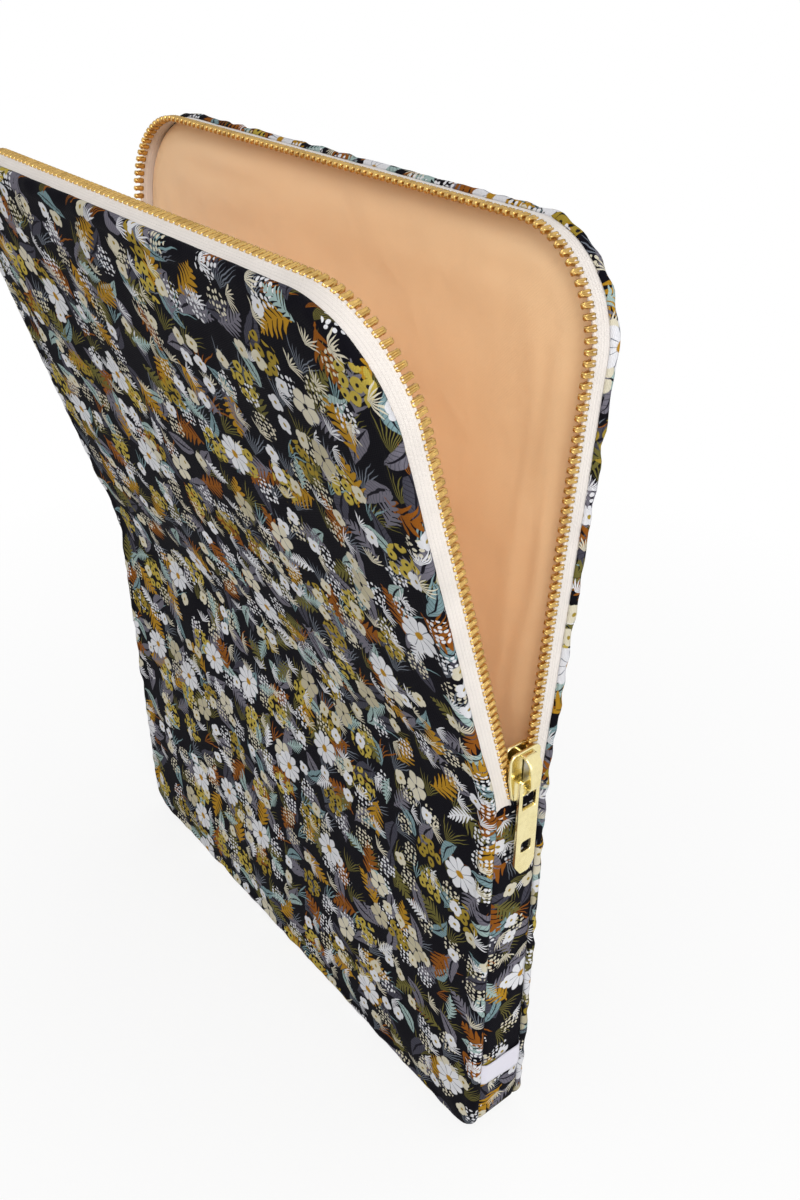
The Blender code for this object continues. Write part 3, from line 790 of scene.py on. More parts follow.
def satin_ribbon(colours):
    """Woven satin ribbon: long floats along it, a firmer edge, a soft sheen."""
    material, t, shader = fresh_material("satin_ribbon", 0.38, Sheen_Weight=0.2,
                                         Anisotropic=0.4)
    flat_map = t.cloth_map()
    _, v, _ = t.split(flat_map)
    floats = t.noise(t.vector("MULTIPLY", flat_map, (300.0, 5200.0, 1.0)), 1.0, 2.0, 0.6)
    hem = t.below(1.0 - abs(v / (LABEL_WIDTH / 2) - 1.0), 0.14, 0.04)
    tint = t.remap(floats, 0.3, 0.7, 0.93, 1.03) + hem * -0.06
    shader["Base Color"] = t.tinted(tuple(colours.label), tint)
    shader["Roughness"] = t.remap(floats, 0.3, 0.7, 0.32, 0.5)
    shader["Normal"] = t.bump(floats + hem, 0.00006, 0.7)
    return material


def sewing_thread(colours):
    """White twisted thread: slanted plies from the place along and across it, painted shade
    between them.
    """
    material, t, shader = fresh_material("white_thread", 0.75, Sheen_Weight=0.3)
    place = t.place()
    x, y, z = t.split(place)
    twist = t.math("SINE", (y + (z + x)) * 16000.0)
    fuzz = t.noise(place, 5000.0, 2.0, 0.6)
    # Painted shade: darker in the grooves of the twist, with a little random fuzz
    tint = t.remap(twist, -1.0, 1.0, 0.84, 1.0) + fuzz * 0.04
    shader["Base Color"] = t.tinted(tuple(colours.thread), tint)
    shader["Normal"] = t.bump(twist + fuzz, 0.00004, 0.6)
    return material


FINISHES = {
    "printed_cotton": printed_cotton, "lining_cotton": lining_cotton, "zip_tape": tape_cotton,
    "satin_ribbon": satin_ribbon, "white_thread": sewing_thread,
    "brass_teeth": lambda c: metal("brass_teeth", tuple(c.brass), "8a672f", 0.17, 0.45),
    "gold_slider": lambda c: metal("gold_slider", tuple(c.gold), "d2bd78", 0.13, 0.25),
    "spring_steel": lambda c: metal("spring_steel", linear("b9b6ae"), "7b7870", 0.25, 0.4),
}


def finish_of(name):
    """The named material, made the first time that it is asked for."""
    found = bpy.data.materials.get(name + "_finish")
    return found or FINISHES[name](bpy.context.scene.sleeve_colours)


# ---------------------------------------------------------------- what a user may change
def metres(name, description, default, low, high):
    """A setting in metres."""
    return FloatProperty(name=name, description=description, default=default, min=low,
                         max=high, unit="LENGTH")


def hue(name, description, default):
    """A colour setting, given as it is written."""
    return FloatVectorProperty(name=name, description=description, subtype="COLOR",
                               default=linear(default), min=0, max=1)


def watts(name, description, default):
    """A lamp's setting in watts."""
    return FloatProperty(name=name, description=description, default=default, min=0.0,
                         max=500.0, unit="POWER")


class SleeveSizes(bpy.types.PropertyGroup):
    """Sizes of the dressed sleeve."""

    puff: metres("Rim puff", "How far the padded rim stands proud", 0.0026, 0.0, 0.006)
    middle_puff: metres("Middle puff", "Swell of a panel's middle", 0.0014, 0.0, 0.006)
    pucker: metres("Seam pucker", "Depth of the puckers at the seams", 0.00045, 0.0, 0.002)
    wave: metres("Panel wave", "Height of the panels' soft waves", 0.0007, 0.0, 0.004)
    fold: FloatProperty(name="Fold share", description="Share kept of the settled folds",
                        default=0.45, min=0.0, max=1.0, subtype="FACTOR")
    cloth_step: metres("Cloth step", "Distance between cloth vertices", 0.0022, 0.001, 0.01)
    rings: IntProperty(name="Cloth rings", description="Rings from a panel's rim to its middle",
                       default=40, min=8, max=80)
    thread_width: metres("Thread width", "Thickness of the topstitches", 0.00045, 0.0002, 0.002)


class SleeveColours(bpy.types.PropertyGroup):
    """Colours of the dressed sleeve."""

    ground: hue("Print ground", "Ground of the printed cotton", "111016")
    lining: hue("Lining", "Colour of the lining", "ffd8a9")
    tape: hue("Zip tape", "Colour of the zip's tapes", "f1e9e2")
    brass: hue("Teeth", "Colour of the zip's teeth", "d6b06a")
    gold: hue("Slider", "Colour of the slider and its pull", "f3e6b0")
    label: hue("Label", "Colour of the ribbon label", "d9d6e2")
    thread: hue("Thread", "Colour of the topstitching", "efeeea")


class SleeveStage(bpy.types.PropertyGroup):
    """The light and the view."""

    key_power: watts("Key light", "Power of the large lamp", 6.4)
    fill_power: watts("Fill light", "Power of the lamp on the front", 0.3)
    side_power: watts("Side light", "Power of the lamp at the zip", 1.6)
    sky: FloatProperty(name="Sky", description="Strength of the even light from all round",
                       default=0.57, min=0.0, max=5.0)
    lens: FloatProperty(name="Lens", description="Focal length of the camera",
                        default=34.87, min=10.0, max=200.0, unit="CAMERA")


# ---------------------------------------------------------------- pieces
def rim_section(sizes):
    """The printed rim from the face round to the zip seam: inset, |y| and flat distance.

    Part of an ellipse from 90 degrees, on the face, down past 0, the outermost point."""
    turn = np.radians(np.linspace(90, -38, 11))
    wide, deep = 0.0040, 0.0024
    inset = wide * (1 - np.cos(turn))
    level = HALF_DEPTH + sizes.puff - deep + deep * np.sin(turn)
    path = run_length(np.stack([inset, level], -1))
    return inset, level, inset[0] - path


def inset_rings(insets, spots, ways):
    """Rings inside the outline: edge - inset * direction. A row of insets is one ring."""
    return spots - insets[..., None] * ways


def shut_rings(insets, spots, ways, rings):
    """The inset rings, then the last of them again, shrinking evenly to the middle."""
    near = inset_rings(insets, spots, ways)
    middle = np.array([0.0, HEIGHT / 2])
    shares = (1 - np.arange(1, rings) / rings)[:, None, None]
    return np.concatenate([near, middle + (near[-1] - middle) * shares])


def blown_pad(step):
    """A closed pad of two sheets on a grid (x, z), its corners drawn in to a rounded shape.

    A grid point keeps its direction from the middle, and its distance is scaled by the
    ratio of the square norm to the 14th-power norm of its place."""
    x = np.linspace(-1, 1, int(WIDTH / step) + 1)
    z = np.linspace(-1, 1, int(HEIGHT / step) + 1)
    across, up = np.meshgrid(x, z, indexing="ij")
    square = np.maximum(np.abs(across), np.abs(up))
    draw = square / np.maximum((np.abs(across) ** 14 + np.abs(up) ** 14) ** (1 / 14), 1e-9)
    across, up = across * draw * WIDTH / 2, HEIGHT / 2 * (1 + up * draw)
    dice = np.random.default_rng(5)
    front = np.stack([across, 0.0022 + dice.uniform(-1, 1, across.shape) * 0.0002, up], -1)
    back = np.stack([across, np.full_like(across, -0.0022), up], -1)
    rows, columns = across.shape
    size = rows * columns
    number = np.arange(size).reshape(rows, columns)
    rim = np.concatenate([number[:, 0], number[-1, 1:], number[-2::-1, -1], number[0, -2:0:-1]])
    follow = np.roll(rim, -1)
    faces = [grid_faces(rows, columns), grid_faces(rows, columns, start=size)[:, ::-1],
             np.stack([follow, follow + size, rim + size, rim], -1)]
    return np.concatenate([front.reshape(-1, 3), back.reshape(-1, 3)]), faces, rim, (rows, columns)


def blurred(field, rounds):
    """A grid of heights after so many rounds of averaging each with its four neighbours."""
    for _ in range(rounds):
        wide = np.pad(field, 1, mode="edge")
        field = (wide[:-2, 1:-1] + wide[2:, 1:-1] + wide[1:-1, :-2] + wide[1:-1, 2:]
                 + 4 * field) / 8
    return field


def settled_folds(step=0.005):
    """Folds of a stuffed panel on a grid of heights, from a cloth simulation of a pad.

    The pad is blown up while its seam draws in. Its folds are what is left of the
    front sheet's rise when the rise blurred over about 20 mm is taken off."""
    points, faces, rim, shape = blown_pad(step)
    scene = bpy.context.scene
    pad = make_piece("pad", points, faces)
    size = shape[0] * shape[1]
    seam = pad.vertex_groups.new(name="seam")
    seam.add([int(one) for one in rim] + [int(one) + size for one in rim], 1.0, "REPLACE")
    cloth = pad.modifiers.new("cloth", "CLOTH")
    given = cloth.settings
    given.quality, given.mass, given.air_damping = 6, 0.25, 2.0
    given.tension_stiffness = given.compression_stiffness = 20.0
    given.shear_stiffness, given.bending_stiffness = 8.0, 1.0
    given.vertex_group_shrink, given.shrink_min, given.shrink_max = "seam", -0.001, 0.02
    given.use_pressure, given.uniform_pressure_force = True, 4.0
    given.effector_weights.gravity = 0.0
    cloth.point_cache.frame_start, cloth.point_cache.frame_end = 1, 22
    first = scene.frame_current
    for number in range(1, 22):
        scene.frame_set(number)
    after = pad.evaluated_get(bpy.context.evaluated_depsgraph_get()).data
    places = np.zeros(len(points) * 3)
    after.vertices.foreach_get("co", places)
    rise = (places.reshape(-1, 3) - points)[:size, 1].reshape(shape)
    mesh = pad.data
    bpy.data.objects.remove(pad)
    bpy.data.meshes.remove(mesh)
    scene.frame_set(first)
    return rise - blurred(rise, 16)


def sampled(field, x, z):
    """Heights of a grid over the sleeve at any places, by cubic B-spline weights."""
    total = np.zeros_like(x)
    rows, columns = field.shape
    u, v = (x / WIDTH + 0.5) * (rows - 1), z / HEIGHT * (columns - 1)
    i, j = np.floor(u).astype(int), np.floor(v).astype(int)

    def weights(t):
        return ((1 - t) ** 3 / 6, (3 * t ** 3 - 6 * t ** 2 + 4) / 6,
                (3 * t ** 2 - 3 * t ** 3 + 3 * t + 1) / 6, t ** 3 / 6)

    for a, share in enumerate(weights(u - i)):
        for b, other in enumerate(weights(v - j)):
            total += share * other * field[np.clip(i + a - 1, 0, rows - 1),
                                           np.clip(j + b - 1, 0, columns - 1)]
    return total


def panel_shape(side, sizes, folds):
    """A padded panel as closed rings: face middle, face, rim, seam, inner face, middle.

    Across the panel y is the half depth plus a swell that depends on the distance from
    the edge, plus waves; the rim is an ellipse, and puckers ride on it along the edge."""
    spots, ways = outline(sizes.cloth_step)
    along = run_length(np.concatenate([spots, spots[:1]]))[:-1]
    insets, levels, flats = rim_section(sizes)
    face = shut_rings(np.array([[0.0048], [0.0062], [0.0080], [0.0100]]), spots, ways,
                      sizes.rings)
    inner_insets = np.array([[0.0016], [0.0028], [0.0045], [0.0075], [0.0105]])
    inner_levels = np.array([0.0100, 0.0092, 0.0082, 0.0074, INNER_FACE])
    inner = shut_rings(inner_insets, spots, ways, 8)
    x, z = face[..., 0], face[..., 1]
    deep = depth_from_edge(x, z)
    swell = sizes.puff + (sizes.middle_puff - sizes.puff) * smooth(deep, 0.006, 0.060)
    wave = ripple(x, z, 11 + side, 0.035, 0.110) * sizes.wave * smooth(deep, 0.004, 0.035)
    dimple = ripple(x, z, 23 + side, 0.014, 0.030) * DIMPLE * smooth(deep, 0.0, 0.012) * (
        1 - 0.6 * smooth(deep, 0.02, 0.06))
    fold = np.clip(sampled(folds[::side], x, z) * sizes.fold, -FOLD_LIMIT, FOLD_LIMIT)
    face_y = HALF_DEPTH + swell + wave + dimple + fold * smooth(deep, 0.001, 0.010)
    rim = inset_rings(insets[:, None], spots, ways)
    purse = ripple(along, 0.0, 31 + side, 0.006, 0.017) * sizes.pucker
    share = np.sin(np.linspace(0.2, math.pi * 0.9, len(insets)))[:, None]
    rim_y = levels[:, None] + purse * share
    out = smooth(rim[..., 1], 0.004, 0.045) * share * (RIM_SWELL + purse * 0.7)
    inner_y = np.concatenate([inner_levels, np.full(len(inner) - len(inner_levels), INNER_FACE)])
    inner_y = np.broadcast_to(inner_y[:, None], inner.shape[:2])
    flat = np.concatenate([face[::-1], inset_rings(flats[:, None], spots, ways), inner])
    rings = np.concatenate([face[::-1], rim + out[..., None] * ways, inner])
    depths = np.concatenate([face_y[::-1], rim_y, inner_y])
    points = np.stack([rings[..., 0], side * depths, rings[..., 1]], -1)
    middles = np.array([[0, points[0, :, 1].mean(), HEIGHT / 2],
                        [0, side * INNER_FACE, HEIGHT / 2]])
    rows, count = points.shape[:2]
    points = opened(np.concatenate([points.reshape(-1, 3), middles]), side)
    ring = np.arange(count)
    faces = [grid_faces(rows, count, closed=True), fan(ring[::-1], rows * count),
             fan((rows - 1) * count + ring, rows * count + 1)]
    uv = np.concatenate([flat.reshape(-1, 2), [[0, HEIGHT / 2]] * 2])
    uv = uv * np.array([-side, 1.0]) + (BACK_PRINT if side == BACK else (0, 0))
    return points, faces, uv


def lining_shape(side, sizes):
    """The lining of one panel as an open sheet: rings from its seam to the middle.

    Below the crease its edge lies on the gusset's lining, above it turns up to the tape,
    and the two profiles, rows of inset and level, are mixed by the smooth step of the
    height. Two creases run beside the zip, each a bell curve of the distance to a line
    that sways, over a soft rumple."""
    spots, ways = outline(sizes.cloth_step * 1.3)
    low = np.array([(0.0034, 0.0068), (0.0038, 0.0065), (0.0044, 0.0064), (0.0054, 0.0064),
                    (0.0070, LINING_LEVEL), (0.0088, LINING_LEVEL), (0.0105, LINING_LEVEL)])
    high = np.array([(0.0015, 0.0101), (0.0021, 0.0092), (0.0030, 0.0082), (0.0043, 0.0073),
                     (0.0062, 0.0067), (0.0084, 0.0064), (0.0105, LINING_LEVEL)])
    above = smooth(spots[:, 1], CREASE - 0.012, CREASE + 0.006)
    insets, levels = (low[:, one, None] * (1 - above) + high[:, one, None] * above
                      for one in (0, 1))
    flat = shut_rings(insets, spots, ways, sizes.rings - 6)
    rows, count = flat.shape[:2]
    x, z = flat[..., 0], flat[..., 1]
    deep = depth_from_edge(x, z)
    y = np.concatenate([levels, np.full((rows - len(levels), count), LINING_LEVEL)])
    upper = smooth(z, CREASE, CREASE + 0.03)
    first = np.exp(-((deep - 0.0125 - 0.0015 * ripple(x, z, 5, 0.05, 0.12)) / 0.0020) ** 2)
    second = np.exp(-((deep - 0.0230 - 0.003 * ripple(x, z, 6, 0.06, 0.14)) / 0.0030) ** 2)
    rumple = ripple(x, z, 41 + side, 0.03, 0.09) * smooth(deep, 0.006, 0.03)
    y = y - (0.0015 * first * upper + 0.0009 * second * upper + 0.00035 * rumple)
    points = np.stack([x, side * y, z], -1).reshape(-1, 3)
    points = opened(np.concatenate([points, [[0, side * LINING_LEVEL, HEIGHT / 2]]]), side)
    faces = [grid_faces(rows, count, closed=True),
             fan((rows - 1) * count + np.arange(count), rows * count)]
    return points, faces, np.concatenate([flat.reshape(-1, 2), [[0, HEIGHT / 2]]])


def strip_shape():
    """The gusset's lining: across it a slight hollow, along it soft waves."""
    spots, ways = stretch_of_edge(-1, 0.003)
    along = run_length(spots)
    centres, across, outward = edge_frame(spots, ways)
    level = np.linspace(-STRIP_HALF, STRIP_HALF, 9)
    hollow = 0.0034 + 0.0004 * np.cos(level / STRIP_HALF * math.pi / 2)
    bob = 0.00025 * ripple(along[:, None], level, 77, 0.012, 0.03)
    points = (centres[:, None] + level[None, :, None] * across[:, None]
              - (hollow + bob)[..., None] * outward[:, None])
    uv = np.stack([np.repeat(along, len(level)), np.tile(level, len(along))], -1)
    return points.reshape(-1, 3), [grid_faces(len(along), len(level))], uv


def cover_shape():
    """The padded gusset: a closed section round its edge, rounded off at its two ends.

    Outside, the section falls toward its seams and puckers there. Towards an end it
    closes about its own middle along a quarter circle."""
    spots, ways = stretch_of_edge(-1, 0.0016)
    along = run_length(spots)
    outer = np.linspace(-COVER_HALF, COVER_HALF, 15)
    inner = np.array([0.0095, 0.0060, 0.0, -0.0060, -0.0095])
    seam = np.abs(outer) / COVER_HALF
    lift = np.concatenate([-0.0002 - 0.0013 * smooth(seam, 0.72, 1.0), inner * 0 - 0.0029])
    section = np.stack([np.concatenate([outer, inner]), lift], -1)
    section = np.tile(section, (len(spots), 1, 1))
    purse = ripple(along[:, None], seam * 0.004, 91, 0.007, 0.02)
    up = smooth(spots[:, 1], 0.002, 0.02)[:, None]
    pucker = 0.00030 * purse * smooth(seam, 0.2, 0.9) * (1 - 0.4 * seam) * up
    section[:, :len(outer), 1] += pucker
    close = np.minimum(along, along[-1] - along)
    middle, lip_length = -0.0014, 0.0014
    lip = np.sqrt(np.clip(1 - (1 - np.clip(close / lip_length, 0, 1)) ** 2, 0.02, 1))[:, None]
    section[..., 1] = middle + (section[..., 1] - middle) * lip
    flat = np.concatenate([outer, inner + 0.03])
    points, faces, uv = swept(section, *edge_frame(spots, ways), flat, along)
    return points, faces, uv + GUSSET_PRINT


def tape_shape(side):
    """One zip tape: a thin flat section with a bead at the teeth, swaying along the zip."""
    spots, ways = stretch_of_edge(1, 0.0022, tuck=0.0035)
    spots = spots - TAPE_INSET * ways
    along = run_length(spots)
    turn = np.linspace(-0.75 * math.pi, 0.75 * math.pi, 9)
    level = np.concatenate([0.0040 - 0.0006 * np.cos(turn),
                            [0.0060, 0.0085, 0.0108, 0.0108, 0.0085, 0.0060]])
    lift = np.concatenate([0.0006 * np.sin(turn), [0.00025] * 3, [-0.00025] * 3])
    section = np.tile(np.stack([level, lift], -1), (len(spots), 1, 1))
    sway = 0.00018 * ripple(along, 0.0, 55 + side, 0.012, 0.04)
    bow = np.sin(np.clip((level - 0.0042) / 0.0066, 0, 1) * math.pi)
    section[..., 1] += sway[:, None] * bow
    centres, across, outward = edge_frame(spots, ways)
    points, faces, uv = swept(section, centres, side * across, outward, level, along)
    return opened(points, side, stiff=True), faces, uv


def tail_shape(sense):
    """A closed tape end on the gusset: a flat patch, slightly bowed across."""
    z, y = np.meshgrid(np.linspace(CREASE - 0.0119, CREASE - 0.0002, 8),
                       np.linspace(-TAIL_HALF, TAIL_HALF, 9), indexing="ij")
    x = sense * (WIDTH / 2 - 0.0019 - 0.0002 * np.cos(y / TAIL_HALF * math.pi / 2))
    points = np.stack([x, y, z], -1).reshape(-1, 3)
    return points, [grid_faces(*y.shape)], points[:, [2, 1]]


def chain_places(offset):
    """Middles and outward directions of the teeth of one row, round the upper edge."""
    radius, side = TOP_RADIUS - TAPE_INSET, WIDTH / 2 - TAPE_INSET
    upright, bend = HEIGHT - TOP_RADIUS - CHAIN_START, radius * math.pi / 2
    total = 2 * upright + 2 * bend + WIDTH - 2 * TOP_RADIUS
    count = int((total - 2 * offset - STOP_LENGTH - 0.0003) / PITCH)
    run = offset + (np.arange(count) + 0.5) * PITCH
    far = run > total / 2
    run = np.where(far, total - run, run)
    turn = np.clip((run - upright) / radius, 0, math.pi / 2)
    over = np.maximum(run - upright - bend, 0)
    x = side - radius * (1 - np.cos(turn)) - over
    z = CHAIN_START + np.minimum(run, upright) + radius * np.sin(turn)
    sense = np.where(far, -1.0, 1.0)
    return np.stack([sense * x, z], -1), np.stack([sense * np.cos(turn), np.sin(turn)], -1)


def tooth_shape():
    """One tooth from its legs on the tape's cord to its tip, as rings of eleven points.

    Stations along the tooth give half width, half thickness, place and the depth of the
    scoop in its outer face; each ring is one outline times that width and thickness."""
    reach = np.array([0.0045, 0.0039, 0.0029, 0.0020, 0.0012, 0.00072])
    half = np.array([0.00082, 0.00104, 0.00094, 0.00080, 0.00088, 0.00048])
    thick = np.array([0.00090, 0.00110, 0.00098, 0.00090, 0.00098, 0.00052])
    scoop = np.array([0.5, 1.0, 1.0, 1.0, 0.7, 0.2])
    ring = np.array([(-1, -0.6), (-0.6, -1), (0.6, -1), (1, -0.6), (1, 0.55), (0.72, 1),
                     (0.34, 0.95), (0, 0.9), (-0.34, 0.95), (-0.72, 1), (-1, 0.55)])
    rows, columns = len(reach), len(ring)
    lift = np.tile(ring[:, 1], (rows, 1))
    lift[:, 7] -= 0.75 * scoop
    lift[:, [6, 8]] -= 0.25 * scoop[:, None]
    points = np.stack([half[:, None] * ring[:, 0],
                       np.broadcast_to(reach[:, None], (rows, columns)),
                       thick[:, None] * lift], -1).reshape(-1, 3)
    return points, tube_faces(rows, columns)


def stop_shape():
    """A top stop: a rounded block as rings that narrow toward its two ends."""
    ring, share = ring_of(16, 0.45), np.array([0.80, 0.95, 1.0, 1.0, 0.95, 0.80])
    level = np.array([0.00085, 0.0011, 0.0016, 0.0034, 0.0039, 0.0042])
    rows, columns = len(level), len(ring)
    points = np.stack([np.outer(share, ring[:, 0]) * STOP_LENGTH / 2,
                       np.broadcast_to(level[:, None], (rows, columns)),
                       np.outer(share, ring[:, 1]) * 0.00095], -1).reshape(-1, 3)
    return points, tube_faces(rows, columns)


def stitch_shape(radius):
    """One stitch: a thread that dips into the cloth at both ends along a cosine."""
    ring, share = ring_of(8), np.sin(np.linspace(0.15, math.pi - 0.15, 9)) ** 0.6
    along = np.linspace(-STITCH_HALF, STITCH_HALF, 9)
    sink = -0.00045 * (1 - np.cos(along / STITCH_HALF * math.pi / 2))
    rows, columns = len(along), len(ring)
    points = np.stack([np.broadcast_to(along[:, None], (rows, columns)),
                       radius * np.outer(share, ring[:, 0]),
                       sink[:, None] + radius * np.outer(share, ring[:, 1])], -1)
    return points.reshape(-1, 3), tube_faces(rows, columns)


def rounded_corners(corners, radius, steps=7):
    """An outline with every corner turned into an arc of its radius, as (n, 2) points.

    An arc's centre lies on the corner's bisector, at the radius over the sine of half
    the corner's angle, and the arc runs between the two points where it meets the sides."""
    corners = np.array(corners, float)
    radius = np.broadcast_to(np.array(radius, float), len(corners))[:, None]
    before = np.roll(corners, 1, 0) - corners
    after = np.roll(corners, -1, 0) - corners
    before /= np.linalg.norm(before, axis=1)[:, None]
    after /= np.linalg.norm(after, axis=1)[:, None]
    half = np.arccos(np.clip((before * after).sum(1), -1, 1))[:, None] / 2
    middle = before + after
    middle /= np.linalg.norm(middle, axis=1)[:, None]
    centre = corners + middle * radius / np.sin(half)
    first = corners + before * radius / np.tan(half) - centre
    last = corners + after * radius / np.tan(half) - centre
    start = np.arctan2(first[:, 1], first[:, 0])
    sweep = np.arctan2(last[:, 1], last[:, 0]) - start
    sweep = (sweep + math.pi) % (2 * math.pi) - math.pi
    turn = start[:, None] + sweep[:, None] * np.linspace(0, 1, steps)[None]
    arc = radius[:, None] * np.stack([np.cos(turn), np.sin(turn)], -1)
    return (centre[:, None] + arc).reshape(-1, 2)


def rounded_box(half, low, high, radius):
    """A rounded outline from -half to half across and from low to high."""
    return rounded_corners([(-half, low), (half, low), (half, high), (-half, high)], radius)


def cut_plate(loops, low, high, edge):
    """A plate square to X between low and high, from its outline and its holes' outlines.

    The loops are one flat, filled curve with half the plate's thickness on each side and
    a quarter circle of the edge radius along every loop. Its mesh is welded, and the
    curve's x, y and z become y, z and x."""
    flat = bpy.data.curves.new("plate", "CURVE")
    flat.dimensions, flat.fill_mode = "2D", "BOTH"
    flat.extrude, flat.bevel_depth = (high - low) / 2 - edge, edge
    flat.bevel_resolution, flat.offset = 3, -edge
    for loop in loops:
        spline = flat.splines.new("POLY")
        spline.points.add(len(loop) - 1)
        spline.use_cyclic_u = True
        spots = np.column_stack([loop, np.zeros(len(loop)), np.ones(len(loop))])
        spline.points.foreach_set("co", spots.ravel())
    holder = bpy.data.objects.new("plate", flat)
    bpy.context.scene.collection.objects.link(holder)
    depsgraph = bpy.context.evaluated_depsgraph_get()
    mesh = bpy.data.meshes.new_from_object(holder.evaluated_get(depsgraph))
    points = np.zeros(len(mesh.vertices) * 3)
    mesh.vertices.foreach_get("co", points)
    points = points.reshape(-1, 3)[:, [2, 0, 1]] + np.array([(low + high) / 2, 0, 0])
    _, first, weld = np.unique(np.round(points, 7), axis=0, return_index=True,
                               return_inverse=True)
    corners = np.zeros(len(mesh.loops), int)
    mesh.loops.foreach_get("vertex_index", corners)
    sizes = np.zeros(len(mesh.polygons), int)
    mesh.polygons.foreach_get("loop_total", sizes)
    starts = np.cumsum(sizes) - sizes
    corners = weld.ravel()[corners]
    faces = [corners[starts[sizes == size][:, None] + np.arange(size)]
             for size in np.unique(sizes)]
    bpy.data.objects.remove(holder)
    bpy.data.curves.remove(flat)
    bpy.data.meshes.remove(mesh)
    return points[first], faces


def slider_plates():
    """The slider's outer and inner plate, each a shield outline, and the post between."""
    shoulder = (SLIDER_FOOT + SLIDER_TOP) / 2
    parts = []
    for mouth, heel, low in ((0.0130, 0.0095, PLATE_X), (0.0100, 0.0080, INNER_PLATE_X)):
        corners = [(-heel / 2, SLIDER_FOOT), (heel / 2, SLIDER_FOOT), (mouth / 2, shoulder),
                   (mouth / 2, SLIDER_TOP), (-mouth / 2, SLIDER_TOP), (-mouth / 2, shoulder)]
        rim = rounded_corners(corners, (0.0022, 0.0022, 0.004, 0.0026, 0.0026, 0.004))
        parts.append(cut_plate([rim], low, low + PLATE_THICK, 0.0005))
    post = rounded_box(0.0005, 0.1805, 0.1855, 0.0004)
    parts.append(cut_plate([post], INNER_PLATE_X + PLATE_THICK / 2, PLATE_X + PLATE_THICK / 2,
                           0.0001))
    return joined(parts)


def crown_shape():
    """The slider's crown: a flattened band carried along an arch from the plate and back.

    The arch leaves its foot in a tight quarter circle and comes back in a quarter ellipse.
    Its places are (x, z) on the sleeve."""
    foot, reach, low, high = 0.1262, 0.1310, 0.1741, 0.1861
    bend, back, fall = 0.0019, 0.0037, 0.0050
    turn = np.linspace(0, math.pi / 2, 12)
    path = np.concatenate([
        [[foot, low]],
        np.stack([reach - bend * (1 - np.sin(turn)), low + bend * (1 - np.cos(turn))], -1),
        np.stack([reach - back * (1 - np.cos(turn)), high - fall * (1 - np.sin(turn))], -1),
        [[foot, high]]])
    along = np.gradient(path, axis=0)
    along /= np.linalg.norm(along, axis=1)[:, None]
    out = np.stack([along[:, 1], -along[:, 0]], -1)
    wide = np.interp(path[:, 1], [low, low + 0.003, high - 0.004, high],
                     [0.0020, 0.0018, 0.0025, 0.0027])
    ring = ring_of(20, 0.5)
    section = np.stack([wide[:, None] * ring[:, 0],
                        np.tile(0.00055 * ring[:, 1], (len(path), 1))], -1)
    return swept(section, *edge_frame(path, out))


def pull_shape():
    """The pull: a tapering plate, rounded at its corners, with a window and a slot."""
    low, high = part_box("pull_tab")
    top, tip = high.z, low.z
    shoulder = top - 0.0362
    wide, narrow = 0.0043, 0.0018
    outer = rounded_corners([(-narrow, tip), (narrow, tip), (wide, shoulder), (wide, top),
                             (-wide, top), (-wide, shoulder)],
                            (0.0010, 0.0010, 0.0020, 0.0014, 0.0014, 0.0020))
    window = rounded_box(0.0029, top - 0.0122, top - 0.0018, 0.0008)
    slot = rounded_box(0.0022, top - 0.0306, top - 0.0260, 0.0010)
    return joined([cut_plate([outer, window, slot], low.x, high.x, 0.00040)])


def label_shape():
    """The ribbon across the gusset: slightly sloping, tucked in at its two seams."""
    y, rise = np.meshgrid(np.linspace(-LABEL_HALF, LABEL_HALF, 25),
                          np.linspace(0.0, LABEL_WIDTH, 13), indexing="ij")
    z = LABEL_LOW + rise - y * LABEL_SLOPE
    seam = smooth(np.abs(y), 0.0078, 0.0106)
    x = WIDTH / 2 + 0.00055 - 0.0013 * seam + 0.0002 * ripple(y, z, 3, 0.007, 0.018)
    points = np.stack([x, y, z], -1).reshape(-1, 3)
    return points, [grid_faces(*y.shape)], np.stack([y.ravel(), rise.ravel()], -1)


# ---------------------------------------------------------------- steps
class SLEEVE_OT_panels(bpy.types.Operator):
    """Make the two padded, printed panels."""

    bl_idname = "sleeve.panels"
    bl_label = "Padded Panels"

    def execute(self, context):
        sizes = context.scene.sleeve_sizes
        folds = settled_folds()
        for side in (FRONT, BACK):
            prefix = PREFIX[side]
            piece = dressed(prefix + "_panel", panel_shape(side, sizes, folds), "printed_cotton",
                            [prefix + "_cloth_lower", prefix + "_cloth_upper",
                             prefix + "_padding_lower", prefix + "_padding_upper"], side=side)
        return {"FINISHED"}


class SLEEVE_OT_gusset(bpy.types.Operator):
    """Make the padded strip round the lower edge, with its two folded ends."""

    bl_idname = "sleeve.gusset"
    bl_label = "Gusset"

    def execute(self, context):
        piece = dressed("gusset_cover", cover_shape(), "printed_cotton",
                        ["gusset_cloth", "gusset_padding"], "pouch")
        return {"FINISHED"}


class SLEEVE_OT_linings(bpy.types.Operator):
    """Make the tan linings of the two panels and of the gusset."""

    bl_idname = "sleeve.linings"
    bl_label = "Linings"

    def execute(self, context):
        for side in (FRONT, BACK):
            prefix = PREFIX[side]
            piece = dressed(prefix + "_lining", lining_shape(side, context.scene.sleeve_sizes),
                            "lining_cotton", [prefix + "_lining_lower", prefix + "_lining_upper"],
                            side=side, closed=False, flip=side == BACK)
        piece = dressed("gusset_lining_strip", strip_shape(), "lining_cotton",
                        ["gusset_lining"], "pouch", closed=False, flip=True)
        return {"FINISHED"}


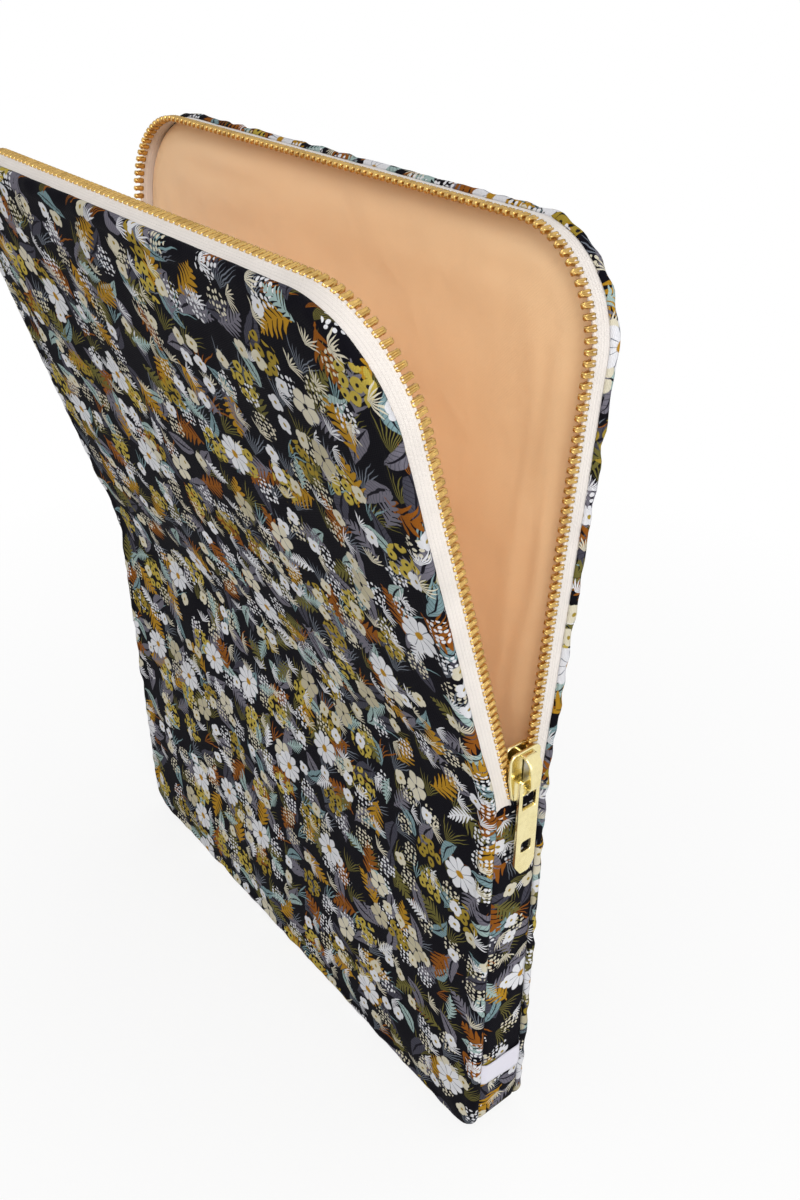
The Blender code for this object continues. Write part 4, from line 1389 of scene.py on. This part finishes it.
class SLEEVE_OT_tapes(bpy.types.Operator):
    """Make the two zip tapes with their corded edges, and the two closed tape ends."""

    bl_idname = "sleeve.tapes"
    bl_label = "Zip Tapes"

    def execute(self, context):
        for side in (FRONT, BACK):
            prefix = PREFIX[side]
            piece = dressed(prefix + "_tape", tape_shape(side), "zip_tape",
                            [prefix + "_zip_tape"], FLAP[side])
        for prefix, sense in (("near", 1), ("far", -1)):
            piece = dressed(prefix + "_tail", tail_shape(sense), "zip_tape",
                            [prefix + "_zip_tail"], "pouch", closed=False, flip=sense < 0)
        return {"FINISHED"}


class SLEEVE_OT_teeth(bpy.types.Operator):
    """Make the two rows of brass teeth, the top stops and the bottom stop."""

    bl_idname = "sleeve.teeth"
    bl_label = "Zip Teeth"

    def execute(self, context):
        end = np.array([[-WIDTH / 2 + TAPE_INSET, 0, CHAIN_START + STOP_LENGTH / 2]])
        for side, offset in ((FRONT, 0.0), (BACK, PITCH / 2)):
            row, across, outward = edge_frame(*chain_places(offset))
            row_axes = np.stack([np.cross(across, outward), side * across, outward], 1)
            end_axes = np.array([[[0, 0, 1], [0, side, 0], [-1, 0, 0]]], float)
            for name, solid, shape, places, axes in (
                    ("_teeth", "_zip_teeth", tooth_shape(), row, row_axes),
                    ("_stop", "_top_stop", stop_shape(), end, end_axes)):
                points, faces = many(*shape, places, axes)
                dressed(PREFIX[side] + name, (opened(points, side, stiff=True), faces),
                        "brass_teeth", [PREFIX[side] + solid], FLAP[side])
        refinished("bottom_stop", "brass_teeth")
        return {"FINISHED"}


def flat_faces(piece):
    """Keeps a plate's flat faces flat to the light beside its rounded edges."""
    piece.modifiers.new("flat_faces", "WEIGHTED_NORMAL").keep_sharp = True


class SLEEVE_OT_slider(bpy.types.Operator):
    """Make the slider's plates, post and crown."""

    bl_idname = "sleeve.slider"
    bl_label = "Slider"

    def execute(self, context):
        flat_faces(dressed("slider_plates", slider_plates(), "gold_slider", ["slider_body"],
                           "slider"))
        dressed("slider_arch", crown_shape(), "gold_slider", ["slider_crown"], "slider")
        refinished("lock_spring", "spring_steel")
        return {"FINISHED"}


class SLEEVE_OT_pull(bpy.types.Operator):
    """Make the pull with its window and slot."""

    bl_idname = "sleeve.pull"
    bl_label = "Pull"

    def execute(self, context):
        flat_faces(dressed("pull", pull_shape(), "gold_slider", ["pull_tab"], "pull"))
        return {"FINISHED"}


class SLEEVE_OT_label(bpy.types.Operator):
    """Make the bare ribbon label that crosses the gusset."""

    bl_idname = "sleeve.label"
    bl_label = "Ribbon Label"

    def execute(self, context):
        piece = dressed("ribbon_label", label_shape(), "satin_ribbon", ["side_label"], "pouch",
                        closed=False)
        thick = piece.modifiers.new("thickness", "SOLIDIFY")
        thick.thickness, thick.offset = 0.0003, 0.0
        return {"FINISHED"}


class SLEEVE_OT_stitching(bpy.types.Operator):
    """Make the rows of topstitches that hold the gusset's folded ends."""

    bl_idname = "sleeve.stitching"
    bl_label = "Topstitching"

    def execute(self, context):
        stitch = stitch_shape(context.scene.sleeve_sizes.thread_width / 2)
        spots = (np.arange(STITCH_COUNT) - STITCH_COUNT // 2) * STITCH_STEP
        for prefix, sense in (("near", 1), ("far", -1)):
            places = np.stack([np.full(STITCH_COUNT, sense * (WIDTH / 2 + 0.00002)), spots,
                               np.full(STITCH_COUNT, STITCH_LEVEL)], -1)
            axes = np.tile(np.array([[0, 1, 0.03], [0, 0, 1], [sense, 0, 0]], float),
                           (STITCH_COUNT, 1, 1))
            dressed(prefix + "_stitches", many(*stitch, places, axes), "white_thread",
                    [prefix + "_hem_stitching"], "pouch")
        return {"FINISHED"}


def pale_floor():
    """The floor: pale where light falls on it, and white to the camera further out."""
    material, t, shader = fresh_material("pale_floor", 0.9)
    place = t.place()
    shader["Base Color"] = t.mix(t.noise(place, 3.0), linear("f4f4f2"), linear("ffffff"))
    rays = t.outputs(t.node("ShaderNodeLightPath"))
    seen = t.math("MAXIMUM", rays["Is Camera Ray"], rays["Is Glossy Ray"])
    far = t.remap(t.vector("LENGTH", place), 0.10, 0.50, 0.80, 1.0) * seen
    glow = t.result("ShaderNodeEmission", Color=(1.0, 1.0, 1.0), Strength=1.0)
    both = t.result("ShaderNodeMixShader", (), (far, Wire(t, shader.node.outputs[0]), glow))
    Inputs(material.node_tree.nodes["Material Output"])["Surface"] = both
    return material


def white_world(sky):
    """A world that shows white, and lights the sleeve evenly at the sky's strength."""
    world = bpy.data.worlds.new("studio")
    world.use_nodes = True
    world.node_tree.nodes.clear()
    t = Tree(world.node_tree)
    rays = t.outputs(t.node("ShaderNodeLightPath"))
    shown = t.math("MAXIMUM", rays["Is Camera Ray"], t.math(
        "MAXIMUM", rays["Is Glossy Ray"], rays["Is Transmission Ray"]))
    back = t.result("ShaderNodeBackground", Color=(1.0, 1.0, 1.0),
                    Strength=shown * (1.0 - sky) + sky)
    t.node("ShaderNodeOutputWorld", Surface=back)
    return world


def placed(name, data, place, back):
    """A lamp or a camera at its place, turned so that it looks against a direction."""
    holder = bpy.data.objects.new(name, data)
    bpy.context.scene.collection.objects.link(holder)
    holder.location = place
    holder.rotation_euler = (-back).to_track_quat("-Z", "Y").to_euler()
    return holder


class SLEEVE_OT_stage(bpy.types.Operator):
    """Make the floor, the lights and the camera."""

    bl_idname = "sleeve.stage"
    bl_label = "Stage"

    def execute(self, context):
        scene, setup = context.scene, context.scene.sleeve_stage
        corners = np.array([(x * FLOOR_HALF, y * FLOOR_HALF, FLOOR_LEVEL)
                            for x, y in ((-1, -1), (1, -1), (1, 1), (-1, 1))])
        floor = make_piece("floor", corners, [np.arange(4)[None]], material=pale_floor(),
                           closed=False)
        scene.world = white_world(setup.sky)
        for name, place, size, energy in (
                ("key", (0.80, -0.45, 1.05), 0.5, setup.key_power),
                ("fill", (-0.35, -1.1, 0.75), 1.0, setup.fill_power),
                ("side", (1.00, -0.05, 0.40), 0.6, setup.side_power)):
            lamp = bpy.data.lights.new(name, "AREA")
            lamp.shape, lamp.size, lamp.energy = "DISK", size, energy
            placed(name, lamp, place, Vector(place) - Vector(AIM_POINT))
        camera = bpy.data.cameras.new("photo_camera")
        camera.lens, camera.sensor_width = setup.lens, 36.0
        camera.clip_start, camera.clip_end = 0.01, 50.0
        flat = math.cos(CAMERA_TILT)
        scene.camera = placed("photo_camera", camera, CAMERA_PLACE, Vector((
            math.sin(CAMERA_TURN) * flat, -math.cos(CAMERA_TURN) * flat, math.sin(CAMERA_TILT))))
        scene.view_settings.view_transform = "Standard"
        return {"FINISHED"}


STEPS = (SLEEVE_OT_panels, SLEEVE_OT_gusset, SLEEVE_OT_linings, SLEEVE_OT_tapes,
         SLEEVE_OT_teeth, SLEEVE_OT_slider, SLEEVE_OT_pull, SLEEVE_OT_label,
         SLEEVE_OT_stitching, SLEEVE_OT_stage)
SETTINGS = {"sleeve_sizes": SleeveSizes, "sleeve_colours": SleeveColours,
            "sleeve_stage": SleeveStage}


class SLEEVE_PT_panel(bpy.types.Panel):
    """The sleeve's settings and steps."""

    bl_idname = "SLEEVE_PT_panel"
    bl_label = "Laptop Sleeve"
    bl_space_type = "VIEW_3D"
    bl_region_type = "UI"
    bl_category = "Sleeve"

    def draw(self, context):
        for key in SETTINGS:
            group = getattr(context.scene, key)
            box = self.layout.box()
            box.label(text=key.replace("_", " ").title())
            for one in group.bl_rna.properties.keys():
                if one not in ("rna_type", "name"):
                    box.prop(group, one)
        for step in STEPS:
            self.layout.operator(step.bl_idname)


CLASSES = (*SETTINGS.values(), *STEPS, SLEEVE_PT_panel)


def register():
    for one in CLASSES:
        bpy.utils.register_class(one)
    for key, group in SETTINGS.items():
        setattr(bpy.types.Scene, key, PointerProperty(type=group))


def unregister():
    for key in SETTINGS:
        delattr(bpy.types.Scene, key)
    for one in reversed(CLASSES):
        bpy.utils.unregister_class(one)


def main():
    """Registers the steps and runs them in order."""
    register()
    for step in STEPS:
        area, name = step.bl_idname.split(".")
        getattr(getattr(bpy.ops, area), name)()


if __name__ == "__main__":
    main()
